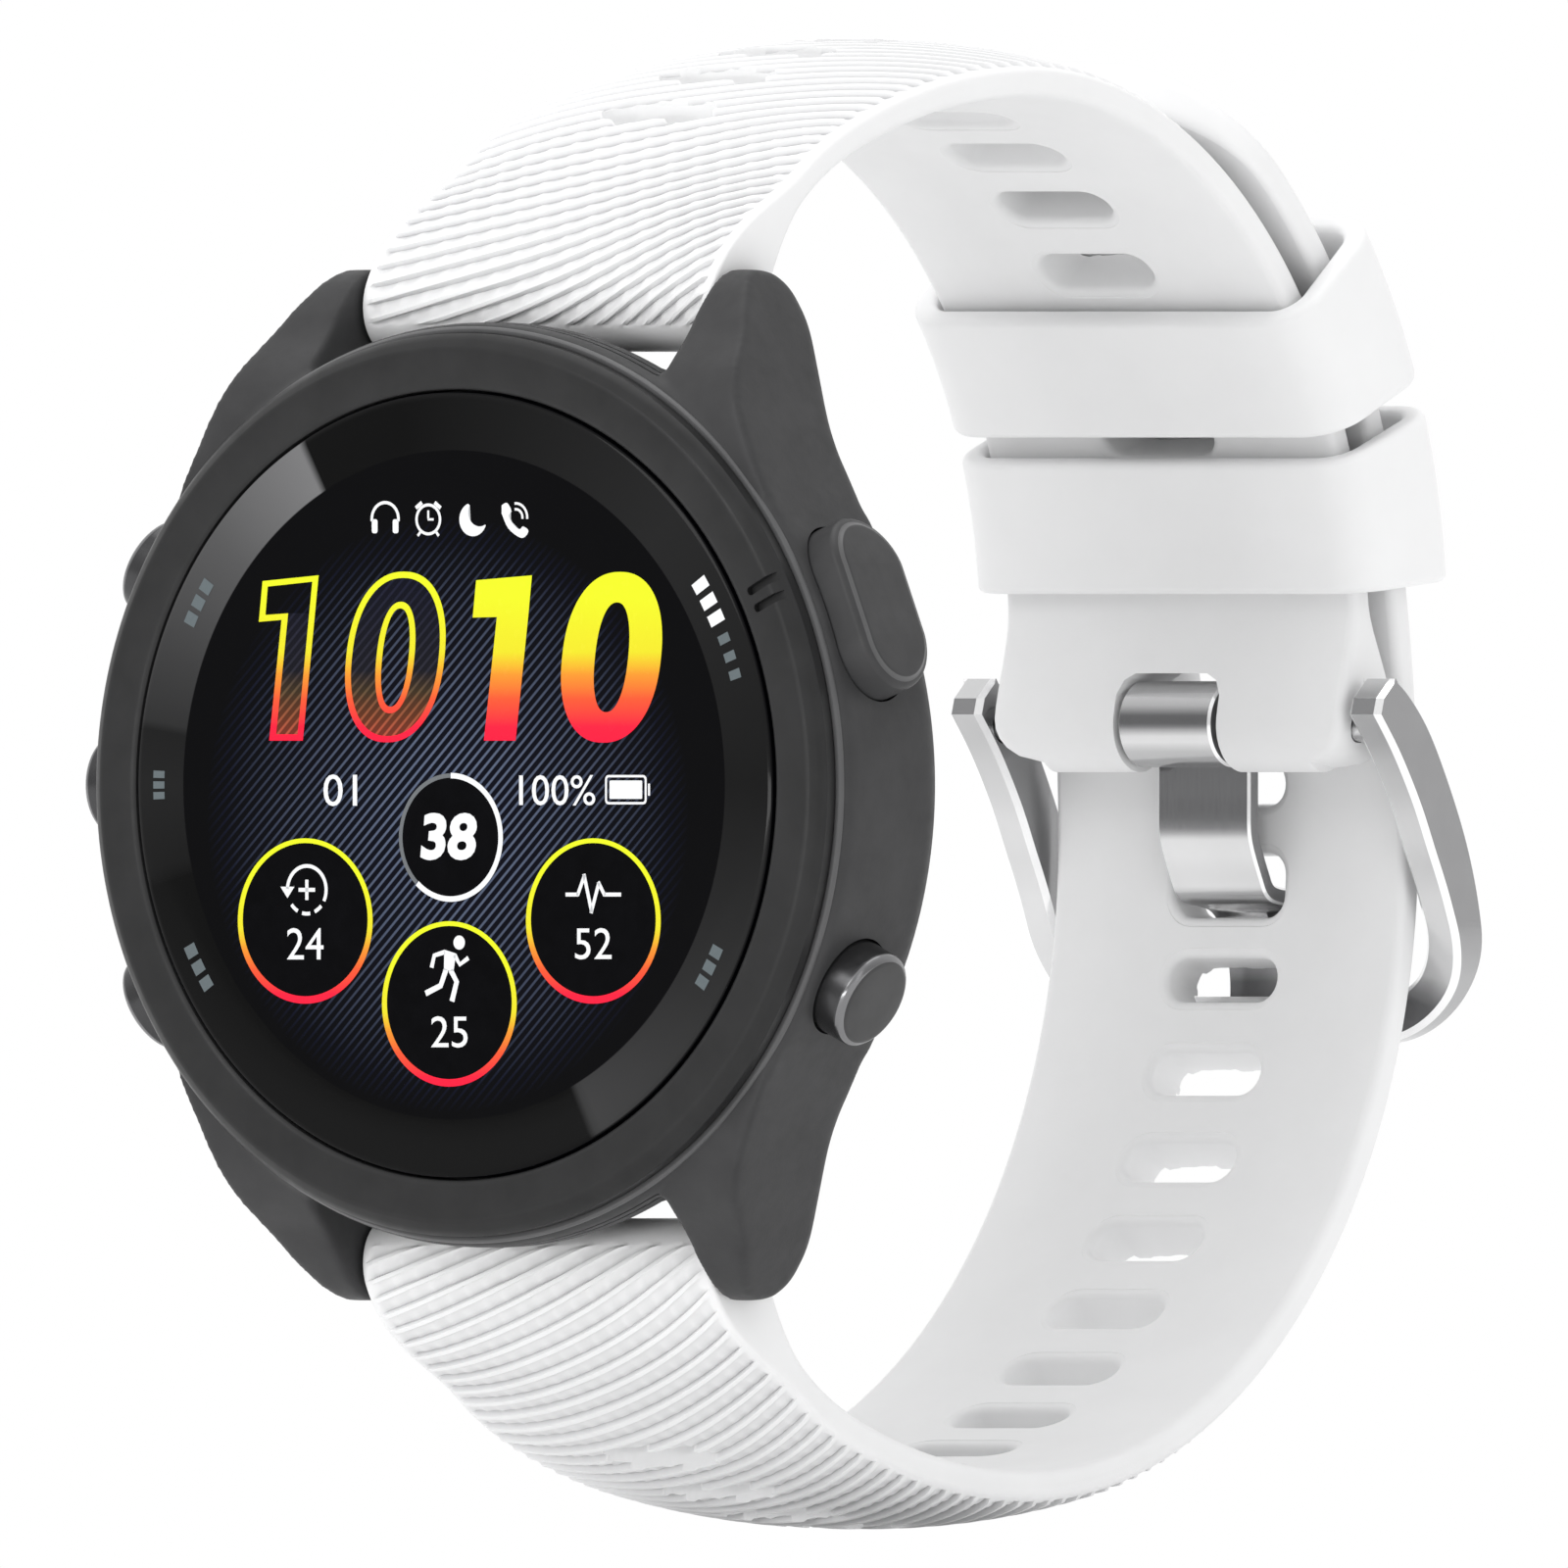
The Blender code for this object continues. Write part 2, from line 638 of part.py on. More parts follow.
for tag, zsign in (("upper", 1), ("lower", -1)):
    ax = along_x(BAR_D, zsign * BAR_Z)
    tube = turned("%s_bar_tube" % tag, [(0.68, 10.7), (0.92, 10.7), (0.92, -10.7), (0.68, -10.7)],
                  ax, STEEL, 16, True)
    boolean(tube, box("cut_%s_tube_slot" % tag, (1.3, 3.0, 3.2),
                      frame_at((KNOB_X - 0.65, wy(BAR_D + 1.5), zsign * BAR_Z), (1, 0, 0), (0, 0, 1)),
                      None, CUTTERS))
    rod("%s_fixed_pin" % tag, 0.42, -12.7, -5.0, ax, STEEL, n=12)
    pin = rod("%s_release_pin" % tag, 0.42, 4.0, 12.7, ax, STEEL, n=12)
    knob = turned("knob_%s" % tag, [(0, 2.75), (0.75, 2.75), (0.9, 2.5), (0.9, 1.6), (0.4, 1.4),
                                    (0.4, 0), (0, 0)],
                  frame_at((KNOB_X, wy(BAR_D), zsign * BAR_Z), (0, 1, 0), (1, 0, 0)),
                  None, 12, False, CUTTERS, True)
    boolean(pin, knob, "UNION")
    coil("%s_bar_spring" % tag, 0.42, 0.1, -4.6, 3.6, 6, ax, STEEL)

# ----------------------------------------------------------------- case body
case = turned("case_body", cased([
    (21.4, 1.45), (23.15, 1.45), (23.6, 2.3), (23.6, 9.2), (23.0, 10.1),
    (21.8, 10.6), (20.6, 10.65), (20.6, 8.8), (19.0, 8.8), (19.0, 8.2), (20.6, 8.2), (20.6, 3.0), (21.4, 3.0)]),
    FRONT, CASE, STEPS, True, bake=True)

# lugs: plan outline (across, up) met with side outline (depth, up)
lug_plan = [(LUG_W / 2, 14.0), (LUG_W / 2, 26.3)]
lug_plan += smooth_line([(12.9, 26.3), (13.6, 25.4), (14.8, 23.2), (15.9, 20.7), (17.1, 18.0),
                         (18.2, 15.6), (19.5, 13.2), (20.9, 10.6)], 1)
lug_plan += [(17.5, 9.0), (14.5, 14.0)]
lug_side = smooth_line([(1.9, 19.8), (2.9, 21.3), (4.5, 22.9), (5.6, 24.3), (6.9, 25.6),
                        (8.2, 26.25), (10.0, 26.5), (11.3, 26.1), (12.0, 24.9), (12.2, 22.8),
                        (11.6, 20.6), (10.4, 18.6)], 1)
lug_side += [(9.9, 16.5), (9.4, 8.0), (2.2, 8.0), (1.7, 15.0)]
lug_parts = []
for i, (sx, sz) in enumerate(((1, 1), (-1, 1), (1, -1), (-1, -1))):
    a = outline("lug_%d" % i, [[(sx * x, sz * z) for x, z in lug_plan]], 8.0,
                frame_at((0, wy(6.4), 0), (0, -1, 0), (1, 0, 0)), None, CUTTERS)
    b = outline("lug_side_%d" % i, [[(d, sz * z) for d, z in lug_side]], 12.0,
                side_place(sx * 16), None, CUTTERS)
    boolean(a, b, "INTERSECT")
    a = baked(a)
    keep_out = rod("lug_core_%d" % i, 22.2, -1, 14, FRONT, None, CUTTERS, STEPS)
    boolean(a, keep_out)
    a = baked(a)
    bpy.data.objects.remove(b, do_unlink=True)
    bpy.data.objects.remove(keep_out, do_unlink=True)
    lug_parts.append(a)
for a in lug_parts:
    boolean(case, a, "UNION")
for i, ang in enumerate((45, 135, 225, 315)):
    r = math.radians(ang)
    boss = rod("boss_%d" % i, 2.2, WATCH_T - 8.5, WATCH_T - 5.2,
               frame_at((18.6 * math.cos(r), 0, 18.6 * math.sin(r)), (0, -1, 0), (1, 0, 0)),
               None, CUTTERS, 12)
    boolean(case, boss, "UNION")
case = baked(case)

cuts = []
for i, ang in enumerate((45, 135, 225, 315)):
    r = math.radians(ang)
    cuts.append(rod("tap_%d" % i, 0.8, WATCH_T - 11, WATCH_T - 5.6,
                    frame_at((18.2 * math.cos(r), 0, 18.2 * math.sin(r)), (0, -1, 0), (1, 0, 0)),
                    None, CUTTERS, 12))
boolean(case, join_cutters("cut_taps", cuts))

# relief for the strap ends and blind holes for the bar tips
cuts = []
for zsign in (1, -1):
    cuts.append(rod("relief", 2.8, -11.2, 11.2, along_x(BAR_D, zsign * BAR_Z), None, CUTTERS, 16))
boolean(case, join_cutters("cut_relief", cuts))
cuts = []
for zsign in (1, -1):
    for xs in (1, -1):
        cuts.append(rod("tip", 0.75, min(xs * 10.9, xs * 13.1), max(xs * 10.9, xs * 13.1),
                        along_x(BAR_D, zsign * BAR_Z), None, CUTTERS, 12))
boolean(case, join_cutters("cut_tips", cuts))

# --------------------------------------------------------------- the buttons
POCKET_FLOOR = 22.1
CAP_IN = BUTTON_FACE_R - BUTTON_CAP_H


def stem_profile(top):
    """Stem below the cap with the groove of its retaining clip."""
    return [(0.85, top), (0.85, -4.95), (0.58, -4.95), (0.58, -5.4), (0.85, -5.4),
            (0.85, -5.6), (0, -5.6)]


def seal_and_clip(tag, angle):
    turned("%s_seal" % tag, [(1.05, -3.45), (1.6, -3.45), (1.6, -4.05), (1.05, -4.05)],
           radial(angle, BUTTON_FACE_R), RUBBER, 12, True)
    turned("%s_clip" % tag, [(0.72, -5.02), (1.6, -5.02), (1.6, -5.32), (0.72, -5.32)],
           radial(angle, BUTTON_FACE_R), STEEL, 12, True)
    box("%s_switch" % tag, (3.0, 2.4, 2.6), radial(angle, 17.75), CERAMIC)


pockets, counters, bores = [], [], []
for tag, ang in ROUND_BUTTONS.items():
    place = radial(ang, BUTTON_FACE_R)
    ob = turned("%s_button" % tag,
                [(0, 0), (BUTTON_R - 0.5, 0), (BUTTON_R, -0.45), (BUTTON_R, -BUTTON_CAP_H)]
                + stem_profile(-BUTTON_CAP_H), place, DARKMETAL, 20)
    seal_and_clip(tag, ang)
    pockets.append(rod("p_" + tag, BUTTON_R + POCKET_GAP, POCKET_FLOOR - BUTTON_FACE_R, 3,
                       place, None, CUTTERS, 20))
    counters.append(rod("c_" + tag, 1.9, 21.2 - BUTTON_FACE_R, -2, place, None, CUTTERS, 16))
    bores.append(rod("b_" + tag, 1.15, 19.6 - BUTTON_FACE_R, -2, place, None, CUTTERS, 16))

place = radial(START_ANGLE, BUTTON_FACE_R)
START_FLOOR = 21.9
cap_low = 22.7 - BUTTON_FACE_R
start = outline("start_button", [rounded_rect(START_L, START_W, START_W / 2 - 0.01, 7)],
                abs(cap_low - 1.0) / 2,
                place @ Matrix.Translation((0, 0, (cap_low + 1.0) / 2 * MM)), BEZEL)
crown = turned("start_crown", cased([(0, -6), (BUTTON_FACE_R - 0.6, -6), (BUTTON_FACE_R, 2.6),
                                     (BUTTON_FACE_R, 7.8), (BUTTON_FACE_R - 0.6, 20), (0, 20)]),
               FRONT, None, 128, False, CUTTERS, True)
boolean(start, crown, "INTERSECT")
start = baked(start)
reorigin(start, (radial(START_ANGLE, BUTTON_FACE_R).translation / MM))
bpy.data.objects.remove(crown, do_unlink=True)
stem = turned("start_stem", [(0, cap_low + 0.6), (0.85, cap_low + 0.6)] + stem_profile(cap_low),
              place, None, 16, False, CUTTERS, True)
boolean(start, stem, "UNION")
bevel(start, 0.35, 1, 50)
seal_and_clip("start", START_ANGLE)
pocket = outline("p_start", [rounded_rect(START_L + 2 * POCKET_GAP, START_W + 2 * POCKET_GAP,
                                          START_W / 2 + POCKET_GAP - 0.01, 7)], 3.0,
                 place @ Matrix.Translation((0, 0, (START_FLOOR - BUTTON_FACE_R + 3.0) * MM)),
                 None, CUTTERS)
pockets.append(pocket)
counters.append(rod("c_start", 1.9, 21.2 - BUTTON_FACE_R, -2, place, None, CUTTERS, 16))
bores.append(rod("b_start", 1.15, 19.6 - BUTTON_FACE_R, -2, place, None, CUTTERS, 16))
boolean(case, join_cutters("cut_pockets", pockets))
boolean(case, join_cutters("cut_counters", counters))
boolean(case, join_cutters("cut_bores", bores))

# --------------------------------------------------------- bezel, glass, screen
turned("bezel", cased([(20.15, 0.08), (22.45, 0.0), (23.05, 0.5), (23.05, 1.15), (21.1, 1.15),
                       (21.1, 2.85), (18.9, 2.85), (18.9, 2.1), (20.15, 2.1)]),
       FRONT, BEZEL, STEPS, True)
turned("lens", cased([(0, 0.0), (19.5, 0.0), (LENS_R, 0.2), (LENS_R, 1.4), (0, 1.4)]),
       FRONT, GLASS, STEPS)
turned("lens_gasket", cased([(19.0, 1.55), (19.8, 1.55), (19.8, 1.95), (19.0, 1.95)]),
       FRONT, RUBBER, 32, True)
turned("display_panel", cased([(0, 1.6), (DISPLAY_R, 1.6), (DISPLAY_R, 2.5), (0, 2.5)]),
       FRONT, SCREEN, 48)
turned("display_bracket", cased([(6.0, 3.05), (20.3, 3.05), (20.3, 3.6), (6.0, 3.6)]),
       FRONT, STEEL, 32, True)

# ------------------------------------------------------------------ internals
turned("main_board", cased([(0, 4.0), (16.0, 4.0), (16.0, 4.8), (0, 4.8)]), FRONT, BOARD, 32)
BACK = frame_at((0, 0, 0), (0, 1, 0), (-1, 0, 0))
cell = outline("battery", [rounded_rect(21, 17, 2.0, 3, 0, -3.0)], 1.65,
               frame_at((0, wy(6.75), 0), (0, -1, 0), (1, 0, 0)), CELL)
rod("vibration_motor", 3.8, WATCH_T - 7.7, WATCH_T - 5.1,
    frame_at((-6.2, 0, 10.6), (0, -1, 0), (1, 0, 0)), STEEL, n=24)
rod("buzzer", 4.0, WATCH_T - 6.9, WATCH_T - 5.1,
    frame_at((6.0, 0, 10.6), (0, -1, 0), (1, 0, 0)), BRASS, n=24)

# antenna strip round the top of the case, between two button stems
arc_o = [(20.2 * math.cos(math.radians(a)), 20.2 * math.sin(math.radians(a)))
         for a in range(36, 145, 6)]
arc_i = [(x * 18.3 / 20.2, z * 18.3 / 20.2) for x, z in reversed(arc_o)]
outline("gps_antenna", [arc_o + arc_i], 0.4,
        frame_at((0, wy(4.35), 0), (0, -1, 0), (1, 0, 0)), CERAMIC)

# -------------------------------------------------------------------- the back
back = turned("back_cover", cased([(8.0, 9.45), (20.3, 9.45), (20.3, 10.6),
                                   (15.2, 10.7), (13.9, 12.3), (13.4, 12.5), (10.3, 12.55),
                                   (10.3, 11.7), (8.0, 11.7)]),
              FRONT, CASE, STEPS, True, bake=True)
cuts, heads = [], []
for i, ang in enumerate((45, 135, 225, 315)):
    r = math.radians(ang)
    pl = frame_at((18.2 * math.cos(r), 0, 18.2 * math.sin(r)), (0, 1, 0), (1, 0, 0))
    cuts.append(rod("sh_%d" % i, 0.8, -4.5, -1.0, pl, None, CUTTERS, 12))
    heads.append(rod("hd_%d" % i, 1.4, -2.95, -1.0, pl, None, CUTTERS, 16))
    screw = turned("back_screw_%d" % (i + 1),
                   [(0, -2.35), (0.9, -2.35), (1.05, -2.45), (1.05, -2.8), (0.5, -2.8),
                    (0.5, -6.6), (0, -6.9)], pl, STEEL, 12, bake=True)
    boolean(screw, rod("cut_drive_%d" % i, 0.42, -2.6, -2.0, pl, None, CUTTERS, 6))
boolean(back, join_cutters("cut_screw_holes", cuts))
boolean(back, join_cutters("cut_screw_heads", heads))
PORT_Z = -17.4
port_at = frame_at((0, wy(10.0), PORT_Z), (0, 1, 0), (1, 0, 0))
boolean(back, box("cut_port", (7.2, 3.0, 3.0), port_at, None, CUTTERS))
port = box("charge_port", (6.6, 2.4, 1.2), frame_at((0, wy(9.75), PORT_Z), (0, 1, 0), (1, 0, 0)), RUBBER)
pins = [rod("pin_%d" % i, 0.35, -0.4, 0.9, frame_at((x, wy(9.75), PORT_Z), (0, 1, 0), (1, 0, 0)),
            None, CUTTERS, 10) for i, x in enumerate((-2.25, -0.75, 0.75, 2.25))]
boolean(port, join_cutters("port_pins", pins), "UNION")

turned("back_gasket", cased([(19.3, 8.95), (20.2, 8.95), (20.2, 9.3), (19.3, 9.3)]),
       FRONT, RUBBER, 32, True)
turned("sensor_board", cased([(0, 10.4), (7.6, 10.4), (7.6, 11.55), (0, 11.55)]), FRONT, BOARD, 32)
turned("sensor_window", cased([(0, 11.9), (10.0, 11.9), (10.0, 12.75), (9.8, 12.9), (0, 12.9)]),
       FRONT, GLASS, 48)

# ------------------------------------------------------------ joint-axis empties
for tag in ["start"] + list(ROUND_BUTTONS):
    ang = START_ANGLE if tag == "start" else ROUND_BUTTONS[tag]
    e = bpy.data.objects.new("axis_%s" % tag, None)
    PARTS.objects.link(e)
    e.matrix_world = radial(ang, BUTTON_FACE_R)
    bpy.context.view_layer.update()
    for piece in ("%s_button" % tag, "%s_clip" % tag):
        ob = bpy.data.objects[piece]
        mw = ob.matrix_world.copy()
        ob.parent = e
        ob.matrix_parent_inverse = e.matrix_world.inverted()
        ob.matrix_world = mw

for ob in PARTS.objects:
    if ob.type == "MESH" and ob.name not in ("battery",):
        for p in ob.data.polygons:
            p.use_smooth = True
        ob.data.set_sharp_from_angle(angle=math.radians(35))
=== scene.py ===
"""Looks of the running watch: ribbed silicone strap, moulded case, lit dial, polished buckle.

Works in the CAD frame: +Z to twelve o'clock, -Y out of the glass, +X to the
start button.  Millimetre sizes below repeat those of the CAD source.
"""
import math

import bmesh
import bpy
import numpy as np
from mathutils import Matrix, Vector


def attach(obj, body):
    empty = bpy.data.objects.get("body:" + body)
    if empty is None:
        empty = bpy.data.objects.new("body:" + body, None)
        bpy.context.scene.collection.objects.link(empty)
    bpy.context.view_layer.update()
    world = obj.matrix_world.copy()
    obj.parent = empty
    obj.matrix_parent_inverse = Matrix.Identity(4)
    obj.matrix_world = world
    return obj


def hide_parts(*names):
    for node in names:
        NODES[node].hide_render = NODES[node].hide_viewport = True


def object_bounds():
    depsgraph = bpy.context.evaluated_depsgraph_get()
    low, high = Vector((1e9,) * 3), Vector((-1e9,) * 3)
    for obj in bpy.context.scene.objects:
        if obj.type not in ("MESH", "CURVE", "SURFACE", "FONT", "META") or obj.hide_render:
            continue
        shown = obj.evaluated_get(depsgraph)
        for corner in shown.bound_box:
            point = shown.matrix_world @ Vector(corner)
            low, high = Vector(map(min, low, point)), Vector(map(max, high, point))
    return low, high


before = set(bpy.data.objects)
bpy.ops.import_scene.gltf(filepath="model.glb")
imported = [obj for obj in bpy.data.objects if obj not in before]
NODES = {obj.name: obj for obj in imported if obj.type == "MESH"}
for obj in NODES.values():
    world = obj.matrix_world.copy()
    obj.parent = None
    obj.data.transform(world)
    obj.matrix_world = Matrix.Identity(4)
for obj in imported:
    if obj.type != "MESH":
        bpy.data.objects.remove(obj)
cad_lo, cad_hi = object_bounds()
MM = 0.001

# ------------------------------------------------------------ shared sizes
WATCH_T = 12.9
LUG_W = 22.4
BAR_D, BAR_Z = 9.5, 24.5
BUTTON_D = 5.2
BUTTON_FACE_R = 25.4
START_ANGLE = 21.3
START_L, START_W = 10.0, 5.6
ROUND_BUTTONS = {"back": -26.0, "light": 153.5, "up": 180.0, "down": 206.5}
STRAP_W, STRAP_T, EDGE_T = 22.0, 2.8, 1.45
HALF_T = STRAP_T / 2
NOSE_R = 2.4
OVER_C = (35.3, 7.4)
SHORT_IN_R = 27.7
LAY_GAP = 0.3
LOW_C = (35.2, -2.9)
LOW_IN_R = 32.1
LUG_ARC_R, FRONT_ARC_R = 18.0, 44.0
BUCKLE_BAR = (63.75, 3.1)
TAIL_END = 64.0
SLOT_L, SLOT_H, SLOT_PITCH = 6.8, 2.3, 5.2
TONGUE_W, TONGUE_T = 5.8, 0.9
KEEPER_SWEEP = 14.4
KEEPER_ANGLES = {"keeper_lower": 13.9, "keeper_upper": 31.6}
KEEPER_WALL, KEEPER_W = 1.25, 25.4
FRAME_HALF, FRAME_LEG = 13.6, 2.0


def wy(d):
    return d - WATCH_T


def clamp01(t):
    return min(max(t, 0.0), 1.0)


def ease(t):
    t = clamp01(t)
    return t * t * (3 - 2 * t)


# ---------------------------------------------------------------- materials
class Mat:
    """A Principled material with small helpers for procedural detail."""

    def __init__(self, name, colour, rough, metal=0.0, **extra):
        self.m = bpy.data.materials.new(name)
        self.m.use_nodes = True
        self.t = self.m.node_tree
        self.b = self.t.nodes["Principled BSDF"]
        self.b.inputs["Base Color"].default_value = (*colour, 1)
        self.b.inputs["Roughness"].default_value = rough
        self.b.inputs["Metallic"].default_value = metal
        for k, v in extra.items():
            self.b.inputs[k.replace("_", " ")].default_value = v
        self.colour = colour
        self.rough = rough
        self.coord = None

    def node(self, kind, **props):
        n = self.t.nodes.new(kind)
        for k, v in props.items():
            setattr(n, k, v)
        return n

    def link(self, a, b):
        self.t.links.new(a, b)

    def pos(self):
        if self.coord is None:
            self.coord = self.node("ShaderNodeTexCoord").outputs["Object"]
        return self.coord

    def noise(self, scale, detail=3.0, rough=0.5, stretch=None):
        n = self.node("ShaderNodeTexNoise")
        n.inputs["Scale"].default_value = scale
        n.inputs["Detail"].default_value = detail
        n.inputs["Roughness"].default_value = rough
        src = self.pos()
        if stretch:
            mp = self.node("ShaderNodeMapping")
            mp.inputs["Scale"].default_value = stretch
            self.link(src, mp.inputs["Vector"])
            src = mp.outputs["Vector"]
        self.link(src, n.inputs["Vector"])
        return n.outputs["Fac"]

    def ramp(self, fac, stops, interp="LINEAR"):
        r = self.node("ShaderNodeValToRGB")
        r.color_ramp.interpolation = interp
        el = r.color_ramp.elements
        el[0].position, el[0].color = stops[0][0], (*stops[0][1], 1)
        el[1].position, el[1].color = stops[-1][0], (*stops[-1][1], 1)
        for p, c in stops[1:-1]:
            e = el.new(p)
            e.color = (*c, 1)
        self.link(fac, r.inputs["Fac"])
        return r.outputs["Color"]

    def math(self, op, a, b=None, clamp=False):
        n = self.node("ShaderNodeMath", operation=op, use_clamp=clamp)
        for i, v in enumerate((a, b)):
            if v is None:
                continue
            if isinstance(v, (int, float)):
                n.inputs[i].default_value = v
            else:
                self.link(v, n.inputs[i])
        return n.outputs[0]

    def spread(self, fac, lo, hi):
        n = self.node("ShaderNodeMapRange")
        n.inputs["To Min"].default_value = lo
        n.inputs["To Max"].default_value = hi
        n.inputs["From Min"].default_value = 0.25
        n.inputs["From Max"].default_value = 0.75
        self.link(fac, n.inputs["Value"])
        return n.outputs["Result"]

    def vary(self, scale, amount, detail=3.0, stretch=None):
        """Soft change of colour over the surface."""
        f = self.noise(scale, detail, 0.55, stretch)
        lo = tuple(c * (1 - amount) for c in self.colour)
        hi = tuple(min(c * (1 + amount), 1) for c in self.colour)
        self.link(self.ramp(f, [(0.3, lo), (0.7, hi)]), self.b.inputs["Base Color"])
        return self

    def gloss(self, scale, lo, hi, detail=2.0, stretch=None):
        self.link(self.spread(self.noise(scale, detail, 0.6, stretch), lo, hi), self.b.inputs["Roughness"])
        return self

    def bump(self, scale, dist, strength=0.3, detail=2.0, stretch=None):
        b = self.node("ShaderNodeBump")
        b.inputs["Strength"].default_value = strength
        b.inputs["Distance"].default_value = dist
        self.link(self.noise(scale, detail, 0.6, stretch), b.inputs["Height"])
        self.link(b.outputs["Normal"], self.b.inputs["Normal"])
        return self


SILICONE = Mat("silicone_white", (0.86, 0.861, 0.865), 0.5, Specular_IOR_Level=0.3) \
    .vary(260, 0.012).gloss(900, 0.46, 0.6).bump(9000, 0.00002, 0.2)
# painted shade: a per-vertex attribute written by strap_skin multiplies the base colour down to 0.71 in the rib
# recesses and at the foot of each step, where shade falls
at_ = SILICONE.node("ShaderNodeAttribute", attribute_name="painted_hollow_shade")
shade_ = SILICONE.ramp(at_.outputs["Fac"], [(0.0, (1, 1, 1)), (0.5, (0.91, 0.91, 0.912)), (1.0, (0.71, 0.71, 0.717))])
mul_ = SILICONE.node("ShaderNodeMix", data_type="RGBA", blend_type="MULTIPLY")
mul_.inputs["Factor"].default_value = 1.0
SILICONE.link(SILICONE.b.inputs["Base Color"].links[0].from_socket, mul_.inputs[6])
SILICONE.link(shade_, mul_.inputs[7])
SILICONE.link(mul_.outputs[2], SILICONE.b.inputs["Base Color"])
LOOP_SIL = Mat("silicone_loops", (0.875, 0.876, 0.88), 0.46, Specular_IOR_Level=0.35) \
    .vary(220, 0.012).gloss(700, 0.4, 0.52).bump(11000, 0.000015, 0.15)
CASE = Mat("case_moulded", (0.045, 0.045, 0.0463), 0.5, Specular_IOR_Level=0.16) \
    .vary(400, 0.10).gloss(1500, 0.40, 0.54).bump(7000, 0.00002, 0.25)
BEZEL = Mat("bezel_moulded", (0.019, 0.019, 0.0195), 0.4, Specular_IOR_Level=0.22) \
    .vary(500, 0.12).gloss(1200, 0.33, 0.44).bump(8000, 0.000015, 0.18)
KEY = Mat("start_key_moulded", (0.044, 0.044, 0.0453), 0.42, Specular_IOR_Level=0.22) \
    .vary(500, 0.10).gloss(1500, 0.36, 0.48).bump(9000, 0.000015, 0.18)
KEYMETAL = Mat("round_key_metal", (0.062, 0.062, 0.064), 0.24, 0.8) \
    .vary(700, 0.06).gloss(2200, 0.2, 0.27).bump(14000, 0.000004, 0.06)
STEEL = Mat("steel_polished", (0.50, 0.50, 0.505), 0.2, 0.84, Specular_IOR_Level=0.6) \
    .vary(300, 0.03).gloss(700, 0.15, 0.23, 2.0, (12, 1, 1)).bump(3000, 0.000004, 0.05, 2.0, (1, 6, 6))
# a lighter copy of the steel for the chamfer faces: a painted highlight along the edges
EDGE_HIGHLIGHT = Mat("steel_edges_painted_highlight", (0.96, 0.96, 0.965), 0.16, 0.8, Specular_IOR_Level=0.8).vary(300, 0.02).gloss(700, 0.12, 0.2).bump(3000, 0.000004, 0.04)
# a lighter copy of the key material for a ring of the start key's chamfer: a painted highlight line
KEY_EDGE_HIGHLIGHT = Mat("key_edge_painted_highlight", (0.082, 0.082, 0.084), 0.34, 0.1).vary(500, 0.06).gloss(900, 0.3, 0.4).bump(9000, 0.000006, 0.08)
# a lighter copy of the key metal for the chamfer ring of the round keys: a painted highlight for the bright crescent
KEY_RIM_HIGHLIGHT = Mat("key_rim_metal_highlight", (0.21, 0.21, 0.215), 0.22, 1.0).vary(500, 0.06).gloss(900, 0.16, 0.24).bump(9000, 0.000004, 0.05)
KEYFACE = Mat("key_face", (0.045, 0.045, 0.046), 0.4, 0.2, Specular_IOR_Level=0.3).vary(500, 0.08).gloss(900, 0.35, 0.45).bump(9000, 0.000008, 0.12)
# painted reflections: the steel's base colour follows a ramp over the object-space normal, light and dark bands
# standing in for the studio's reflections, and faces turned along X take a flat grey; a faint noise on top is wear
nrm_ = STEEL.node("ShaderNodeSeparateXYZ")
STEEL.link(STEEL.node("ShaderNodeTexCoord").outputs["Normal"], nrm_.inputs[0])
painted_reflection_band_ = STEEL.ramp(STEEL.math("ADD", STEEL.math("MULTIPLY", nrm_.outputs["Z"], 0.5), 0.5),
                   [(0.0, (0.42, 0.42, 0.425)), (0.18, (0.50, 0.50, 0.505)), (0.29, (0.70, 0.70, 0.705)), (0.36, (0.66, 0.66, 0.665)),
                    (0.47, (0.20, 0.20, 0.205)), (0.60, (0.17, 0.17, 0.175)), (0.72, (0.46, 0.46, 0.465)), (1.0, (0.78, 0.78, 0.785))])
side_ = STEEL.node("ShaderNodeMix", data_type="RGBA")
STEEL.link(STEEL.math("POWER", STEEL.math("ABSOLUTE", nrm_.outputs["X"]), 2.0, True), side_.inputs["Factor"])
STEEL.link(painted_reflection_band_, side_.inputs[6])
side_.inputs[7].default_value = (0.36, 0.36, 0.365, 1)
reflection_and_wear_ = STEEL.node("ShaderNodeMix", data_type="RGBA", blend_type="MULTIPLY")
reflection_and_wear_.inputs["Factor"].default_value = 1.0
STEEL.link(side_.outputs[2], reflection_and_wear_.inputs[6])
STEEL.link(STEEL.ramp(STEEL.noise(300, 3), [(0.3, (0.95, 0.95, 0.95)), (0.7, (1, 1, 1))]), reflection_and_wear_.inputs[7])
STEEL.link(reflection_and_wear_.outputs[2], STEEL.b.inputs["Base Color"])
STEELSAT = Mat("steel_satin", (0.55, 0.55, 0.56), 0.3, 1.0) \
    .vary(400, 0.05).gloss(1500, 0.24, 0.38).bump(6000, 0.00001, 0.12)
RUBBER = Mat("seal_rubber", (0.012, 0.012, 0.012), 0.7).vary(800, 0.2).gloss(1200, 0.6, 0.8).bump(8000, 0.00002, 0.2)
BOARD = Mat("board_green", (0.012, 0.10, 0.045), 0.45).vary(900, 0.3).gloss(1500, 0.35, 0.55).bump(3500, 0.00003, 0.3)
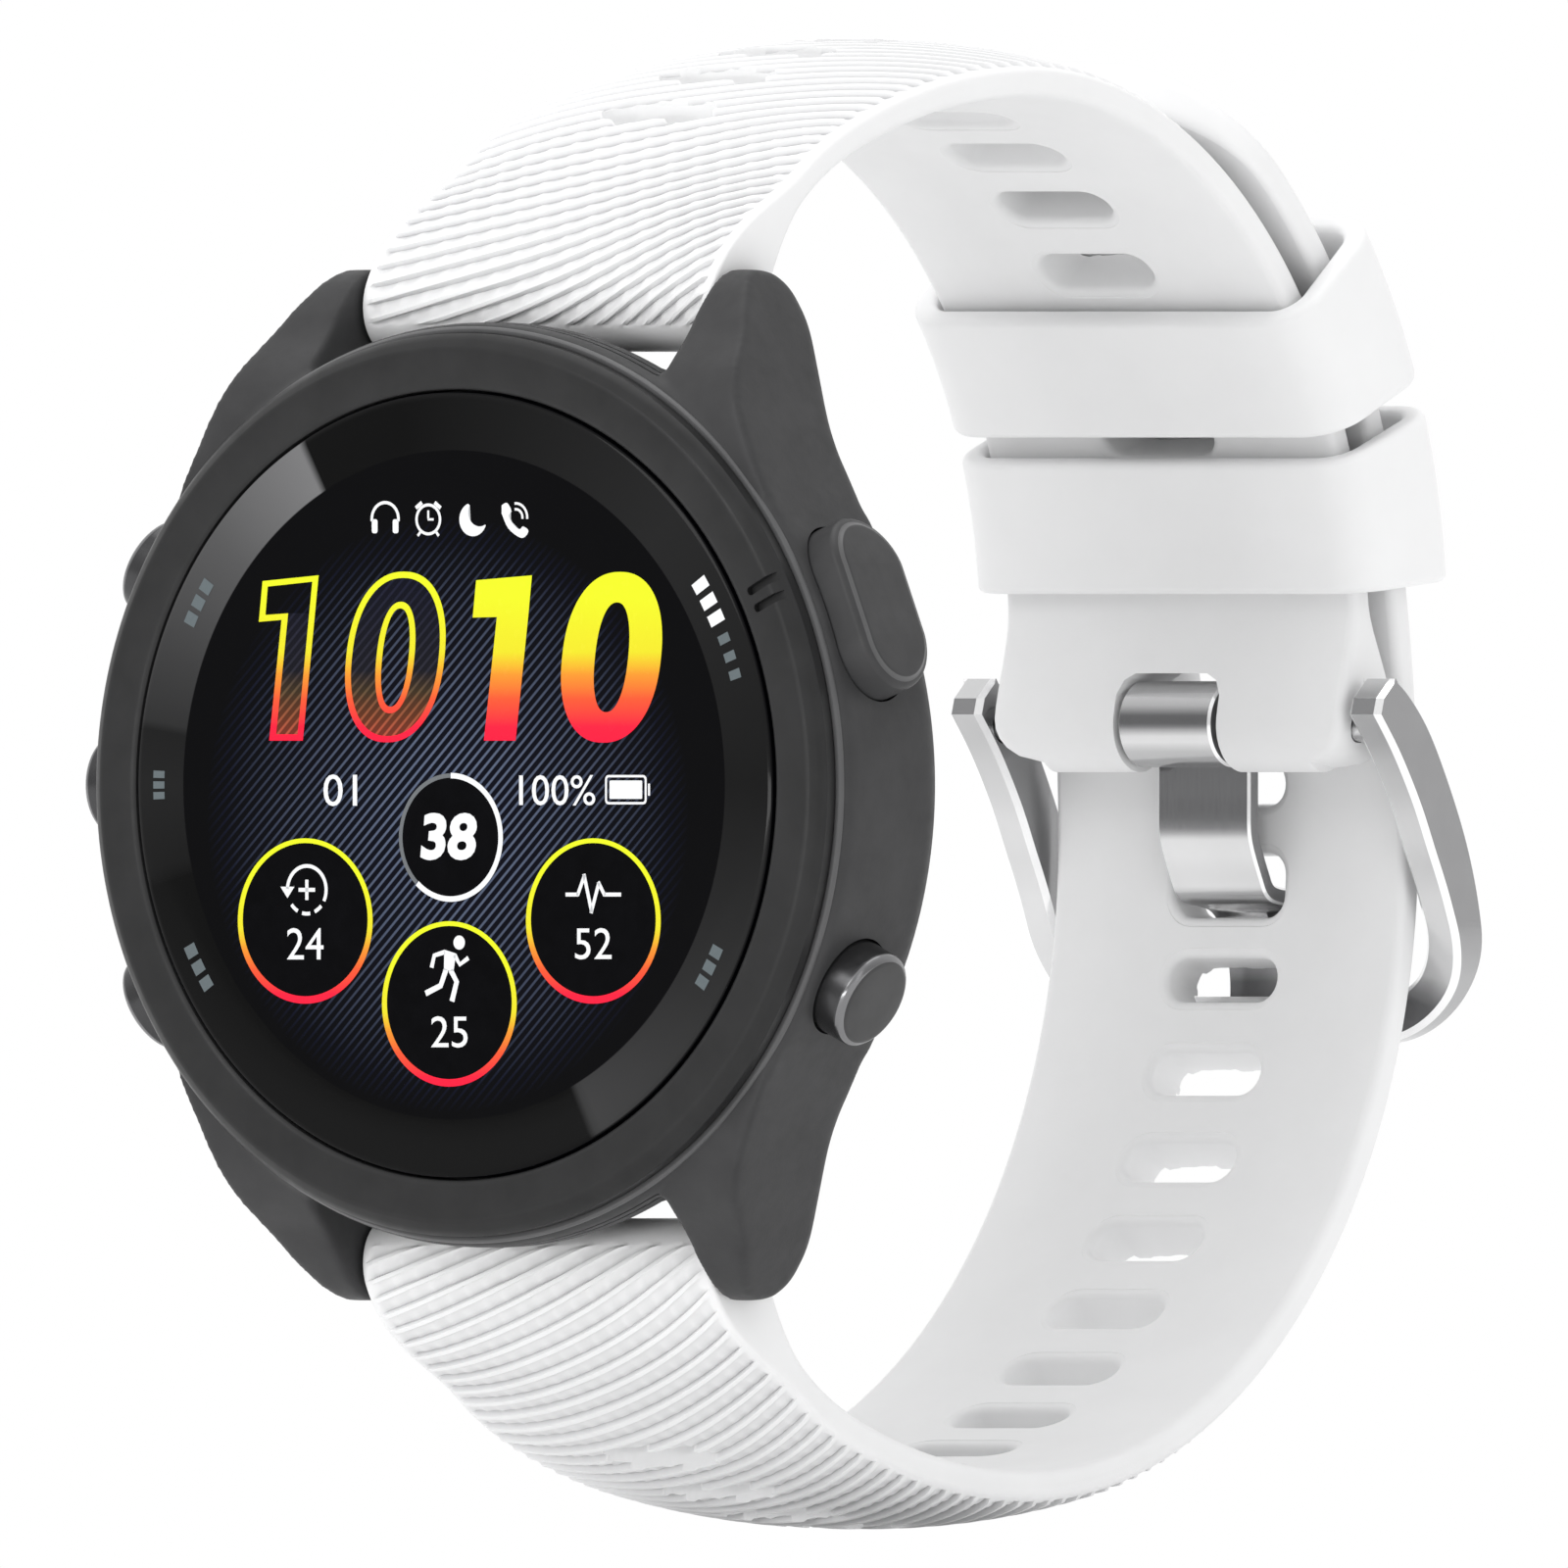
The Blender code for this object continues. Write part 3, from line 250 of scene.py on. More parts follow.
CELL = Mat("cell_foil", (0.42, 0.43, 0.45), 0.4, 0.6).vary(300, 0.08).gloss(800, 0.3, 0.5).bump(900, 0.00005, 0.25)
BRASS = Mat("contact_gold", (0.72, 0.50, 0.18), 0.28, 1.0).vary(900, 0.08).gloss(1500, 0.2, 0.36).bump(6000, 0.00001, 0.1)
CERAMIC = Mat("antenna_ceramic", (0.62, 0.60, 0.53), 0.6).vary(700, 0.08).gloss(1500, 0.5, 0.7).bump(7000, 0.00002, 0.2)
SENSOR = Mat("sensor_glass", (0.006, 0.006, 0.007), 0.08, Coat_Weight=0.5).vary(300, 0.3).gloss(500, 0.05, 0.1).bump(2000, 0.000003, 0.05)


def lens_material():
    """Black glass with the printed ring, painted reflections on two arcs of it, and the striped picture of the screen.
    """
    k = Mat("lens_black_glass", (0.003, 0.003, 0.004), 0.07, Specular_IOR_Level=0.09)
    sep = k.node("ShaderNodeSeparateXYZ")
    k.link(k.pos(), sep.inputs[0])
    x, z = sep.outputs["X"], sep.outputs["Z"]
    r = k.math("SQRT", k.math("ADD", k.math("MULTIPLY", x, x), k.math("MULTIPLY", z, z)))
    # fine slanting stripes that fade towards the rim
    t = k.math("MULTIPLY", k.math("SUBTRACT", z, x), 1 / (math.sqrt(2) * 0.00040))
    wave = k.math("SINE", k.math("MULTIPLY", t, 2 * math.pi))
    line = k.math("MULTIPLY", k.math("SUBTRACT", wave, 0.25), 1.9, True)
    off = k.math("ADD", k.math("MULTIPLY", k.math("SUBTRACT", z, -0.0015), k.math("SUBTRACT", z, -0.0015)),
                 k.math("MULTIPLY", k.math("ADD", x, 0.0004), k.math("ADD", x, 0.0004)))
    fade = k.math("SUBTRACT", 1.0, k.math("MULTIPLY", k.math("SQRT", off), 1 / 0.0152), True)
    fade = k.math("POWER", fade, 0.85)
    glow = k.math("MULTIPLY", k.math("ADD", k.math("MULTIPLY", line, 0.8), 0.06), fade)
    picture = k.ramp(glow, [(0.0, (0.0008, 0.0008, 0.0012)), (0.10, (0.0028, 0.0036, 0.010)), (1.0, (0.10, 0.125, 0.19))])
    # printed ring, lighter over two arcs: painted reflections of the studio lights on the glass rim
    ang = k.math("MULTIPLY", k.math("ADD", k.math("ARCTAN2", z, x), math.pi), 1 / (2 * math.pi))
    a = lambda deg: (deg + 180) / 360
    g = lambda v: (v, v, v * 1.02)
    stops = [(0.0, g(0.010)), (a(-166.5), g(0.006)), (a(-165), g(0.002)), (a(-64.5), g(0.002)), (a(-63), g(0.030)),
             (a(-35), g(0.016)), (a(0), g(0.006)), (a(45), g(0.012)), (a(78), g(0.006)), (a(100), g(0.0022)),
             (a(118.2), g(0.0024)), (a(119.2), g(0.125)), (a(140), g(0.062)), (a(160), g(0.030)), (a(170.5), g(0.018)),
             (a(171.3), g(0.008)), (1.0, g(0.010))]
    ring = k.ramp(ang, stops)
    edge = k.math("MULTIPLY", k.math("SUBTRACT", r, 0.01705), 1 / 0.00006, True)
    rim = k.math("MULTIPLY", k.math("SUBTRACT", 0.01998, r), 1 / 0.00006, True)
    mask = k.math("MULTIPLY", edge, rim)
    mix = k.node("ShaderNodeMix", data_type="RGBA")
    k.link(mask, mix.inputs["Factor"])
    k.link(picture, mix.inputs[6])
    k.link(ring, mix.inputs[7])
    k.link(mix.outputs[2], k.b.inputs["Base Color"])
    k.gloss(400, 0.05, 0.10)
    # the ring glows along with the screen picture, so its painted reflections glow too
    k.link(mix.outputs[2], k.b.inputs["Emission Color"])
    k.b.inputs["Emission Strength"].default_value = 0.35
    return k


LENS = lens_material()


def glow_material(name, colour):
    k = Mat(name, tuple(c * 0.62 for c in colour), 0.25, Specular_IOR_Level=0.1)
    k.vary(2500, 0.03)
    k.gloss(1500, 0.2, 0.3)
    k.b.inputs["Emission Color"].default_value = (*colour, 1)
    k.b.inputs["Emission Strength"].default_value = 0.34
    return k


def grad_material():
    k = Mat("dial_sunset", (0.5, 0.5, 0.1), 0.25, Specular_IOR_Level=0.1)
    at = k.node("ShaderNodeAttribute", attribute_name="grad")
    col = k.ramp(at.outputs["Fac"], [(0.0, (1.0, 0.012, 0.05)), (0.10, (1.0, 0.016, 0.05)), (0.26, (0.86, 0.10, 0.035)),
                                     (0.40, (0.84, 0.30, 0.03)), (0.53, (0.80, 0.72, 0.025)), (1.0, (0.80, 0.90, 0.022))])
    dim = k.node("ShaderNodeVectorMath", operation="SCALE")
    dim.inputs["Scale"].default_value = 0.62
    k.link(col, dim.inputs[0])
    k.link(dim.outputs[0], k.b.inputs["Base Color"])
    k.link(col, k.b.inputs["Emission Color"])
    k.b.inputs["Emission Strength"].default_value = 0.34
    k.gloss(1500, 0.2, 0.3)
    return k


WHITE = glow_material("dial_white", (0.86, 0.87, 0.88))
GREY = glow_material("dial_grey", (0.16, 0.17, 0.18))
LABEL = glow_material("ring_mark_grey", (0.13, 0.155, 0.165))
BLACK = Mat("dial_black", (0.0014, 0.0014, 0.002), 0.12, Specular_IOR_Level=0.06).vary(900, 0.2).gloss(900, 0.08, 0.14)
SUNSET = grad_material()


def dusk_material():
    """Faint warm tint inside the outlined digits, with the stripes showing."""
    k = Mat("dial_dusk", (0.05, 0.02, 0.01), 0.2, Specular_IOR_Level=0.09)
    sep = k.node("ShaderNodeSeparateXYZ")
    k.link(k.pos(), sep.inputs[0])
    t = k.math("MULTIPLY", k.math("SUBTRACT", sep.outputs["Z"], sep.outputs["X"]), 1 / (math.sqrt(2) * 0.00040))
    line = k.math("MULTIPLY", k.math("SUBTRACT", k.math("SINE", k.math("MULTIPLY", t, 2 * math.pi)), 0.25), 1.9, True)
    at = k.node("ShaderNodeAttribute", attribute_name="grad")
    col = k.ramp(at.outputs["Fac"], [(0.0, (0.14, 0.022, 0.014)), (0.16, (0.075, 0.022, 0.010)), (0.30, (0.030, 0.019, 0.010)),
                                     (0.42, (0.006, 0.006, 0.009)), (1.0, (0.0026, 0.0030, 0.0075))])
    sc = k.node("ShaderNodeVectorMath", operation="SCALE")
    k.link(col, sc.inputs[0])
    k.link(k.math("ADD", k.math("MULTIPLY", line, 1.6), 1.0), sc.inputs["Scale"])
    k.link(sc.outputs[0], k.b.inputs["Base Color"])
    k.link(sc.outputs[0], k.b.inputs["Emission Color"])
    k.b.inputs["Emission Strength"].default_value = 0.4
    k.gloss(1500, 0.1, 0.16)
    return k


DUSK = dusk_material()

# ------------------------------------------------------------- mesh helpers


def new_object(name, me, mat, sharp=35):
    ob = bpy.data.objects.new(name, me)
    bpy.context.scene.collection.objects.link(ob)
    me.materials.clear()
    me.materials.append(mat.m if isinstance(mat, Mat) else mat)
    shade(ob, sharp)
    return ob


def shade(ob, sharp=35):
    me = ob.data
    me.polygons.foreach_set("use_smooth", [True] * len(me.polygons))
    me.set_sharp_from_angle(angle=math.radians(sharp))


def from_arrays(name, verts, faces, mat, sharp=35):
    me = bpy.data.meshes.new(name)
    me.from_pydata([tuple(v) for v in verts], [], faces)
    me.validate()
    return new_object(name, me, mat, sharp)


def from_bm(name, bm, mat, sharp=35):
    bmesh.ops.recalc_face_normals(bm, faces=bm.faces)
    me = bpy.data.meshes.new(name)
    bm.to_mesh(me)
    bm.free()
    return new_object(name, me, mat, sharp)


def frame_at(origin, z_dir, x_dir):
    z = Vector(z_dir).normalized()
    x = Vector(x_dir)
    x = (x - z * x.dot(z)).normalized()
    y = z.cross(x)
    m = Matrix((x, y, z)).transposed().to_4x4()
    m.translation = Vector(origin) * MM
    return m


FRONT = frame_at((0, 0, 0), (0, -1, 0), (1, 0, 0))
BACK = frame_at((0, 0, 0), (0, 1, 0), (-1, 0, 0))


def radial(angle, dist, depth=BUTTON_D):
    a = math.radians(angle)
    n = Vector((math.cos(a), 0, math.sin(a)))
    return frame_at(n * dist + Vector((0, wy(depth), 0)), n, (-n.z, 0, n.x))


def along_x(depth, height):
    return frame_at((0, wy(depth), height), (1, 0, 0), (0, 0, 1))


def cased(points):
    return [(r, WATCH_T - d) for r, d in points]


def turned(name, profile, place, mat, steps=160, closed=True, sharp=35):
    """Revolve (radius, height) points about local Z; a profile that touches the axis closes itself."""
    bm = bmesh.new()
    rings = []
    for r, z in profile:
        if r < 1e-6:
            rings.append([bm.verts.new((0, 0, z * MM))])
        else:
            rings.append([bm.verts.new((r * MM * math.cos(2 * math.pi * i / steps),
                                        r * MM * math.sin(2 * math.pi * i / steps), z * MM)) for i in range(steps)])
    pairs = list(zip(rings, rings[1:]))
    if closed and len(rings[0]) > 1 and len(rings[-1]) > 1:
        pairs.append((rings[-1], rings[0]))
    for a, b in pairs:
        for i in range(steps):
            j = (i + 1) % steps
            if len(a) == 1 and len(b) == 1:
                break
            if len(a) == 1:
                bm.faces.new((a[0], b[i], b[j]))
            elif len(b) == 1:
                bm.faces.new((a[i], b[0], a[j]))
            else:
                bm.faces.new((a[i], b[i], b[j], a[j]))
    bmesh.ops.transform(bm, matrix=place, verts=bm.verts)
    return from_bm(name, bm, mat, sharp)


def prism(name, loop, lo, hi, place, mat=None):
    """Flat outline in local XY between two heights of local Z, triangulated caps."""
    bm = bmesh.new()
    a = [bm.verts.new((x * MM, y * MM, lo * MM)) for x, y in loop]
    b = [bm.verts.new((x * MM, y * MM, hi * MM)) for x, y in loop]
    n = len(loop)
    for i in range(n):
        j = (i + 1) % n
        bm.faces.new((a[i], a[j], b[j], b[i]))
    f1 = bm.faces.new(a[::-1])
    f2 = bm.faces.new(b)
    bmesh.ops.triangulate(bm, faces=[f1, f2], ngon_method="EAR_CLIP")
    bmesh.ops.transform(bm, matrix=place, verts=bm.verts)
    return from_bm(name, bm, mat or STEELSAT)


def rounded_rect(w, h, r, n=8, cx=0.0, cy=0.0):
    pts = []
    for qx, qy, a0 in ((1, 1, 0), (-1, 1, 90), (-1, -1, 180), (1, -1, 270)):
        for i in range(n + 1):
            a = math.radians(a0 + 90 * i / n)
            pts.append((cx + qx * (w / 2 - r) + r * math.cos(a), cy + qy * (h / 2 - r) + r * math.sin(a)))
    return pts


def smooth_line(points, per=6):
    p = [points[0]] + list(points) + [points[-1]]
    out = []
    for i in range(1, len(p) - 2):
        for k in range(per):
            t = k / per
            out.append(tuple(
                0.5 * (2 * p[i][c] + (p[i + 1][c] - p[i - 1][c]) * t
                       + (2 * p[i - 1][c] - 5 * p[i][c] + 4 * p[i + 1][c] - p[i + 2][c]) * t * t
                       + (3 * p[i][c] - p[i - 1][c] - 3 * p[i + 1][c] + p[i + 2][c]) * t ** 3)
                for c in (0, 1)))
    out.append(tuple(points[-1]))
    return out


def bake(ob):
    """Applies the modifiers of an object in place."""
    deps = bpy.context.evaluated_depsgraph_get()
    deps.update()
    me = bpy.data.meshes.new_from_object(ob.evaluated_get(deps))
    old = ob.data
    ob.modifiers.clear()
    ob.data = me
    bpy.data.meshes.remove(old)
    return ob


def boolean(ob, other, op="DIFFERENCE", keep=False):
    """Boolean by the fast solver, or by the exact one where that gives nothing."""
    before = len(ob.data.polygons)
    for solver in ("MANIFOLD", "EXACT"):
        m = ob.modifiers.new("b", "BOOLEAN")
        m.operation = op
        m.solver = solver
        m.object = other
        deps = bpy.context.evaluated_depsgraph_get()
        deps.update()
        me = bpy.data.meshes.new_from_object(ob.evaluated_get(deps))
        if len(me.polygons) > 3 and not (solver == "MANIFOLD" and len(me.polygons) == before and op != "UNION"):
            old = ob.data
            ob.modifiers.clear()
            ob.data = me
            bpy.data.meshes.remove(old)
            break
        bpy.data.meshes.remove(me)
        ob.modifiers.clear()
    if not keep:
        bpy.data.objects.remove(other, do_unlink=True)
    return ob


def joined(name, objects, mat):
    bm = bmesh.new()
    for o in objects:
        bm.from_mesh(o.data)
        bpy.data.objects.remove(o, do_unlink=True)
    me = bpy.data.meshes.new(name)
    bm.to_mesh(me)
    bm.free()
    return new_object(name, me, mat)


# --------------------------------------------------------------- strap paths
class Chain:
    """Tangent arcs in the (depth, height) plane, walked by arc length."""

    def __init__(self, start, heading, arcs):
        self.segs = []
        x, z = start
        s = 0.0
        h = heading
        for radius, turn in arcs:
            sign = 1 if turn > 0 else -1
            cx, cz = x - sign * radius * math.sin(h), z + sign * radius * math.cos(h)
            length = radius * abs(turn)
            self.segs.append((s, length, cx, cz, radius, h, sign))
            h += turn
            x, z = cx + sign * radius * math.sin(h), cz - sign * radius * math.cos(h)
            s += length
        self.length = s

    def at(self, s):
        for seg in self.segs:
            if s <= seg[0] + seg[1] or seg is self.segs[-1]:
                break
        s0, length, cx, cz, radius, h0, sign = seg
        t = min(max(s - s0, 0.0), length)
        h = h0 + sign * t / radius
        x, z = cx + sign * radius * math.sin(h), cz - sign * radius * math.cos(h)
        extra = (s - s0) - t
        return x + extra * math.cos(h), z + extra * math.sin(h), h

    def many(self, s):
        """Vectorised at() for a flat array."""
        s = np.asarray(s, float)
        x, z, h = np.zeros_like(s), np.zeros_like(s), np.zeros_like(s)
        for i, (s0, length, cx, cz, radius, h0, sign) in enumerate(self.segs):
            last = i == len(self.segs) - 1
            pick = (s >= s0 if i else np.ones_like(s, bool)) & (np.ones_like(s, bool) if last else s < s0 + length)
            t = np.clip(s[pick] - s0, 0, length)
            hh = h0 + sign * t / radius
            extra = (s[pick] - s0) - t
            x[pick] = cx + sign * radius * np.sin(hh) + extra * np.cos(hh)
            z[pick] = cz - sign * radius * np.cos(hh) + extra * np.sin(hh)
            h[pick] = hh
        return x, z, h


def two_arcs(bar, crown, r_small, r_big):
    cbx, cbz = crown[0], crown[1] - r_big
    dx, dz = bar[0] - cbx, bar[1] - cbz
    dist = math.hypot(dx, dz)
    m = r_big - r_small
    beta = math.acos((dist * dist + m * m - r_small * r_small) / (2 * dist * m))
    a_dir = math.atan2(dz, dx) - beta
    csx, csz = cbx + m * math.cos(a_dir), cbz + m * math.sin(a_dir)
    a_bar = math.atan2(bar[1] - csz, bar[0] - csx)
    return a_bar - a_dir, a_dir - math.pi / 2, a_bar - math.pi / 2


SHORT_R = SHORT_IN_R + HALF_T
bar_phi = math.atan2(BUCKLE_BAR[1] - OVER_C[1], BUCKLE_BAR[0] - OVER_C[0])
sweep_small, sweep_big, head = two_arcs((BAR_D, BAR_Z), (OVER_C[0], OVER_C[1] + SHORT_R), LUG_ARC_R, FRONT_ARC_R)
SHORT = Chain((BAR_D, BAR_Z), head, [(LUG_ARC_R, -sweep_small), (FRONT_ARC_R, -sweep_big),
                                     (SHORT_R, -(math.pi / 2 - bar_phi))])
LOW_R = LOW_IN_R + HALF_T
TAIL_R = SHORT_IN_R + STRAP_T + LAY_GAP + HALF_T
sweep_small, sweep_big, head = two_arcs((BAR_D, BAR_Z), (LOW_C[0], -LOW_C[1] + LOW_R), LUG_ARC_R, FRONT_ARC_R)
rise_x = LOW_C[0] + LOW_R - OVER_C[0]
rise_z = LOW_C[1] - OVER_C[1]
RISE_R = ((rise_x ** 2 + rise_z ** 2) - TAIL_R ** 2) / (2 * (rise_x - TAIL_R))
join_phi = math.atan2(-rise_z, RISE_R - rise_x)
LONG = Chain((BAR_D, -BAR_Z), -head, [(LUG_ARC_R, sweep_small), (FRONT_ARC_R, sweep_big), (LOW_R, math.pi / 2),
                                      (RISE_R, join_phi), (TAIL_R, math.radians(TAIL_END) - join_phi)])
TIP_L = 9.0


def esm(t):
    t = np.clip(t, 0, 1)
    return t * t * (3 - 2 * t)


def section_at(sigma, length, rolled):
    """Crown, edge and wrist-side offsets and half width along the strap.
    rolled: the far end turns round a bar; otherwise it is the rounded tip."""
    k = esm(sigma / 9.0)
    crown = NOSE_R + (HALF_T - NOSE_R) * k
    edge = NOSE_R + (EDGE_T - HALF_T - NOSE_R) * k
    inn = NOSE_R + (HALF_T - NOSE_R) * k
    w = np.full_like(sigma, STRAP_W / 2)
    rest = length - sigma
    if rolled:
        k = esm(rest / 6.5)
        far = rest < 12
        crown = np.where(far, NOSE_R + (HALF_T - NOSE_R) * k, crown)
        edge = np.where(far, NOSE_R + (EDGE_T - HALF_T - NOSE_R) * k, edge)
        inn = np.where(far, NOSE_R + (HALF_T - NOSE_R) * k, inn)
        t = np.clip((rest + 2.4) / 2.6, 0, 1)      # rounded corners in plan
        w = np.where(rest < 0.2, STRAP_W / 2 - 2.6 + 2.6 * np.sqrt(np.clip(1 - (1 - t) ** 2, 0, 1)), w)
    else:
        u = np.clip(1 - rest / TIP_L, 0, 1)
        tip = (STRAP_W / 2) * np.sqrt(np.clip(1 - u ** 2.4, 0, 1))
        tip = np.maximum(tip, 2.2)
        w = np.where(rest < TIP_L, tip, w)
        lift = HALF_T - (HALF_T - (EDGE_T - HALF_T)) * (w / (STRAP_W / 2)) ** 2.2
        thin = 0.9 * np.clip((u - 0.8) / 0.2, 0, 1) ** 2
        crown = np.where(rest < TIP_L, HALF_T - 0.25 * u - thin, crown)
        edge = np.where(rest < TIP_L, np.minimum(lift, HALF_T - 0.3) - thin, edge)
        inn = np.where(rest < TIP_L, HALF_T - 0.3 * thin, inn)
    return crown, edge, inn, w


RIB_UP = np.polyfit([-11, -9.5, -6.5, -3.5, -0.5, 2.5, 5.5, 8.5, 10, 11], [-0.35, 0, 0.68, 1.4, 2.4, 3.6, 5.2, 7.4, 8.5, 9.1], 5)
RIB_LOW = np.polyfit([-11, -9.5, -6.5, -3.5, -0.5, 2.5, 5.5, 8.5, 10, 11],
                     [0.45, 0, -0.95, -1.95, -3.05, -4.2, -5.55, -7.15, -8.05, -8.7], 4)
RIB_H = 0.36
# one period of the rib, walking away from the lug: step up, flat ridge, soft fall, recessed band
RIB_V = [(0.0, 1.0), (0.04, 1.05), (0.21, 1.03), (0.28, 0.64), (0.42, 0.44), (0.64, 0.24), (0.88, 0.06), (0.955, -0.04)]
# painted shade for each row of the period: none on the ridge, darkest in the recessed band just before the next step
RIB_PAINTED_SHADE = [0.10, 0.0, 0.0, 0.30, 0.42, 0.46, 0.56, 0.92]


def strap_skin(name, chain, side, lean, pitch, rolled, mat, shift=0.0):
    L = chain.length
    s_lo = -NOSE_R * math.radians(52)
    s_hi = L - (7.5 if rolled else 2.0)
    N = 82 if rolled else 74
    u_out = np.linspace(-1, 1, N)
    u_out = np.sign(u_out) * (1 - (1 - np.abs(u_out)) ** 1.12)     # a little denser at the margins
    x_out = u_out * (STRAP_W / 2 - 0.32)
    g = np.polyval(lean, x_out)
    gl, gr = float(np.polyval(lean, -11.0)), float(np.polyval(lean, 11.0))
    gmin, gmax = min(g.min(), gl, gr), max(g.max(), gl, gr)
    n0 = int(math.floor((s_lo - gmax * 1.0) / pitch)) - 1
    n1 = int(math.ceil((s_hi - gmin) / pitch)) + 1
    # ribs lie closer together near the lug
    grid_t, grid_s = [0.0], [0.0]
    while grid_s[-1] < s_hi + 14:
        grid_s.append(grid_s[-1] + 0.05 * pitch * (0.84 + 0.28 * clamp01((grid_s[-1] - 0.5) / 12)))
        grid_t.append(grid_t[-1] + 0.05)
    grid_t = [-40.0] + grid_t
    grid_s = [-40.0 * pitch * 0.84] + grid_s
    n1 = int(grid_t[-1])
    n0 = int(math.floor((s_lo - gmax) / (pitch * 0.80))) - 1
    rows = []                                     # (base, height)
    for n in range(n0, n1 + 1):
        for (v, h), hol in zip(RIB_V, RIB_PAINTED_SHADE):
            b_ = float(np.interp(n + v, grid_t, grid_s)) + shift
            if b_ + gmax < s_lo - 0.5 or b_ + gmin > s_hi + 0.5:
                continue
            rows.append((b_, h, v, n, hol))
    base = np.array([r[0] for r in rows])
    hgt = np.array([r[1] for r in rows])
    vv = np.array([r[2] for r in rows])
    nn = np.array([r[3] for r in rows])
    ho = np.array([r[4] for r in rows])
    # straight rows before and after the leaning ones
    pre = [-NOSE_R * math.radians(a) for a in (87, 80, 72, 64, 57)]
    if rolled:
        post = list(np.linspace(s_hi, L, 12))[1:] + [L + NOSE_R * math.radians(a) for a in (12, 24, 36, 48, 58, 68, 77, 84, 88)]
    else:
        post = [s_hi + (L - s_hi) * math.sin(math.radians(a)) for a in (10, 20, 30, 40, 50, 60, 70, 80, 90)]
    S = base[:, None] + g[None, :]
    S = np.clip(S, s_lo, s_hi)
    SL = np.clip(base + gl, s_lo, s_hi)
    SR = np.clip(base + gr, s_lo, s_hi)
    S = np.vstack([np.repeat(np.array(pre)[:, None], N, 1), S, np.repeat(np.array(post)[:, None], N, 1)])
    SL = np.concatenate([pre, SL, post])
    SR = np.concatenate([pre, SR, post])
    H = np.concatenate([np.zeros(len(pre)), hgt, np.zeros(len(post))])
    V = np.concatenate([np.zeros(len(pre)), vv, np.zeros(len(post))])
    K = np.concatenate([np.zeros(len(pre)), nn, np.zeros(len(post))])
    HO = np.concatenate([np.zeros(len(pre)), ho, np.zeros(len(post))])
    R = len(S)
    # rib relief
    margin = esm((0.992 - np.abs(u_out)) / 0.03)
    ends = esm((S - s_lo) / 0.25) * esm((s_hi - S) / (0.8 if rolled else 3.0))
    slope = np.hypot(1, np.gradient(g, x_out))
    along = np.concatenate([[0], np.cumsum(np.diff(x_out) * (slope[1:] + slope[:-1]) / 2)])
    rung = np.cos(2 * math.pi * (along[None, :] / 1.38 + K[:, None] * 0.36)) * 0.5 + 0.5
    band = np.exp(-((V - 0.66) / 0.27) ** 4) * (V > 0.25)
    small = np.sin(along[None, :] * 9.0 + K[:, None] * 2.1) * 0.5 + 0.5
    relief = RIB_H * H[:, None] + band[:, None] * (0.12 * rung ** 3 + 0.015 * small)
    # painted shade: lighter over the raised rungs, faded out towards the margins and the ends
    painted_hollow_shade = HO[:, None] * (1 - 0.72 * band[:, None] * rung ** 3)
    relief = relief * margin[None, :] * ends - RIB_H * 0.0
    sink = 0.20                                   # the ribs stand a little proud of the plain margin
    relief -= sink * ends * margin[None, :]
    painted_hollow_shade = painted_hollow_shade * margin[None, :] * ends

    # points of one loop: outer columns left to right, right side, wrist side right to left, left side
    cols_x, cols_o, cols_s, cols_h, cols_c = [], [], [], [], []

    def put(S_, xfun, ofun, h=None, c_=None):
        cols_c.append(np.zeros(R) if c_ is None else c_)
        crown, edge, inn, w = section_at(S_, L, rolled)
        cols_x.append(xfun(w))
        cols_o.append(ofun(crown, edge, inn))
        cols_s.append(S_)
        cols_h.append(np.zeros(R) if h is None else h)

    for j in range(N):
        u = x_out[j] / (STRAP_W / 2)
        put(S[:, j], lambda w, u=u: u * w, lambda c, e, i, u=u: e + (c - e) * (1 - abs(u) ** 2.2), relief[:, j], painted_hollow_shade[:, j])
    for sx, Sx in ((1, SR),):
        put(Sx, lambda w: w - 0.13, lambda c, e, i: e - 0.03)
        put(Sx, lambda w: w - 0.035, lambda c, e, i: e - 0.12)
        put(Sx, lambda w: w, lambda c, e, i: e - 0.26)
        for t in (0.3, 0.62, 1.0):
            put(Sx, lambda w: w, lambda c, e, i, t=t: (e - 0.26) * (1 - t) + (-i + np.minimum(0.55, (i + e) * 0.3)) * t)
        for a in (25, 50, 75):
            ca, sa = math.cos(math.radians(a)), math.sin(math.radians(a))
            put(Sx, lambda w, ca=ca: w - 0.5 * (1 - ca), lambda c, e, i, sa=sa: -i + np.minimum(0.55, (i + e) * 0.3) * (1 - sa))
    M = 7
    for k in range(M):
        f = 1 - 2 * k / (M - 1)
        Sm = SL + (SR - SL) * (f * 0.954 + 1) / 2
        put(Sm, lambda w, f=f: f * (w - 0.5), lambda c, e, i: -i)
    for a in (75, 50, 25):
        ca, sa = math.cos(math.radians(a)), math.sin(math.radians(a))
        put(SL, lambda w, ca=ca: -(w - 0.5 * (1 - ca)), lambda c, e, i, sa=sa: -i + np.minimum(0.55, (i + e) * 0.3) * (1 - sa))
    for t in (1.0, 0.62, 0.3):
        put(SL, lambda w: -w, lambda c, e, i, t=t: (e - 0.26) * (1 - t) + (-i + np.minimum(0.55, (i + e) * 0.3)) * t)
    put(SL, lambda w: -w, lambda c, e, i: e - 0.26)
    put(SL, lambda w: -(w - 0.035), lambda c, e, i: e - 0.12)
    put(SL, lambda w: -(w - 0.13), lambda c, e, i: e - 0.03)
    X, O, SS, HH, CC = (np.array(c).T for c in (cols_x, cols_o, cols_s, cols_h, cols_c))
    C = X.shape[1]
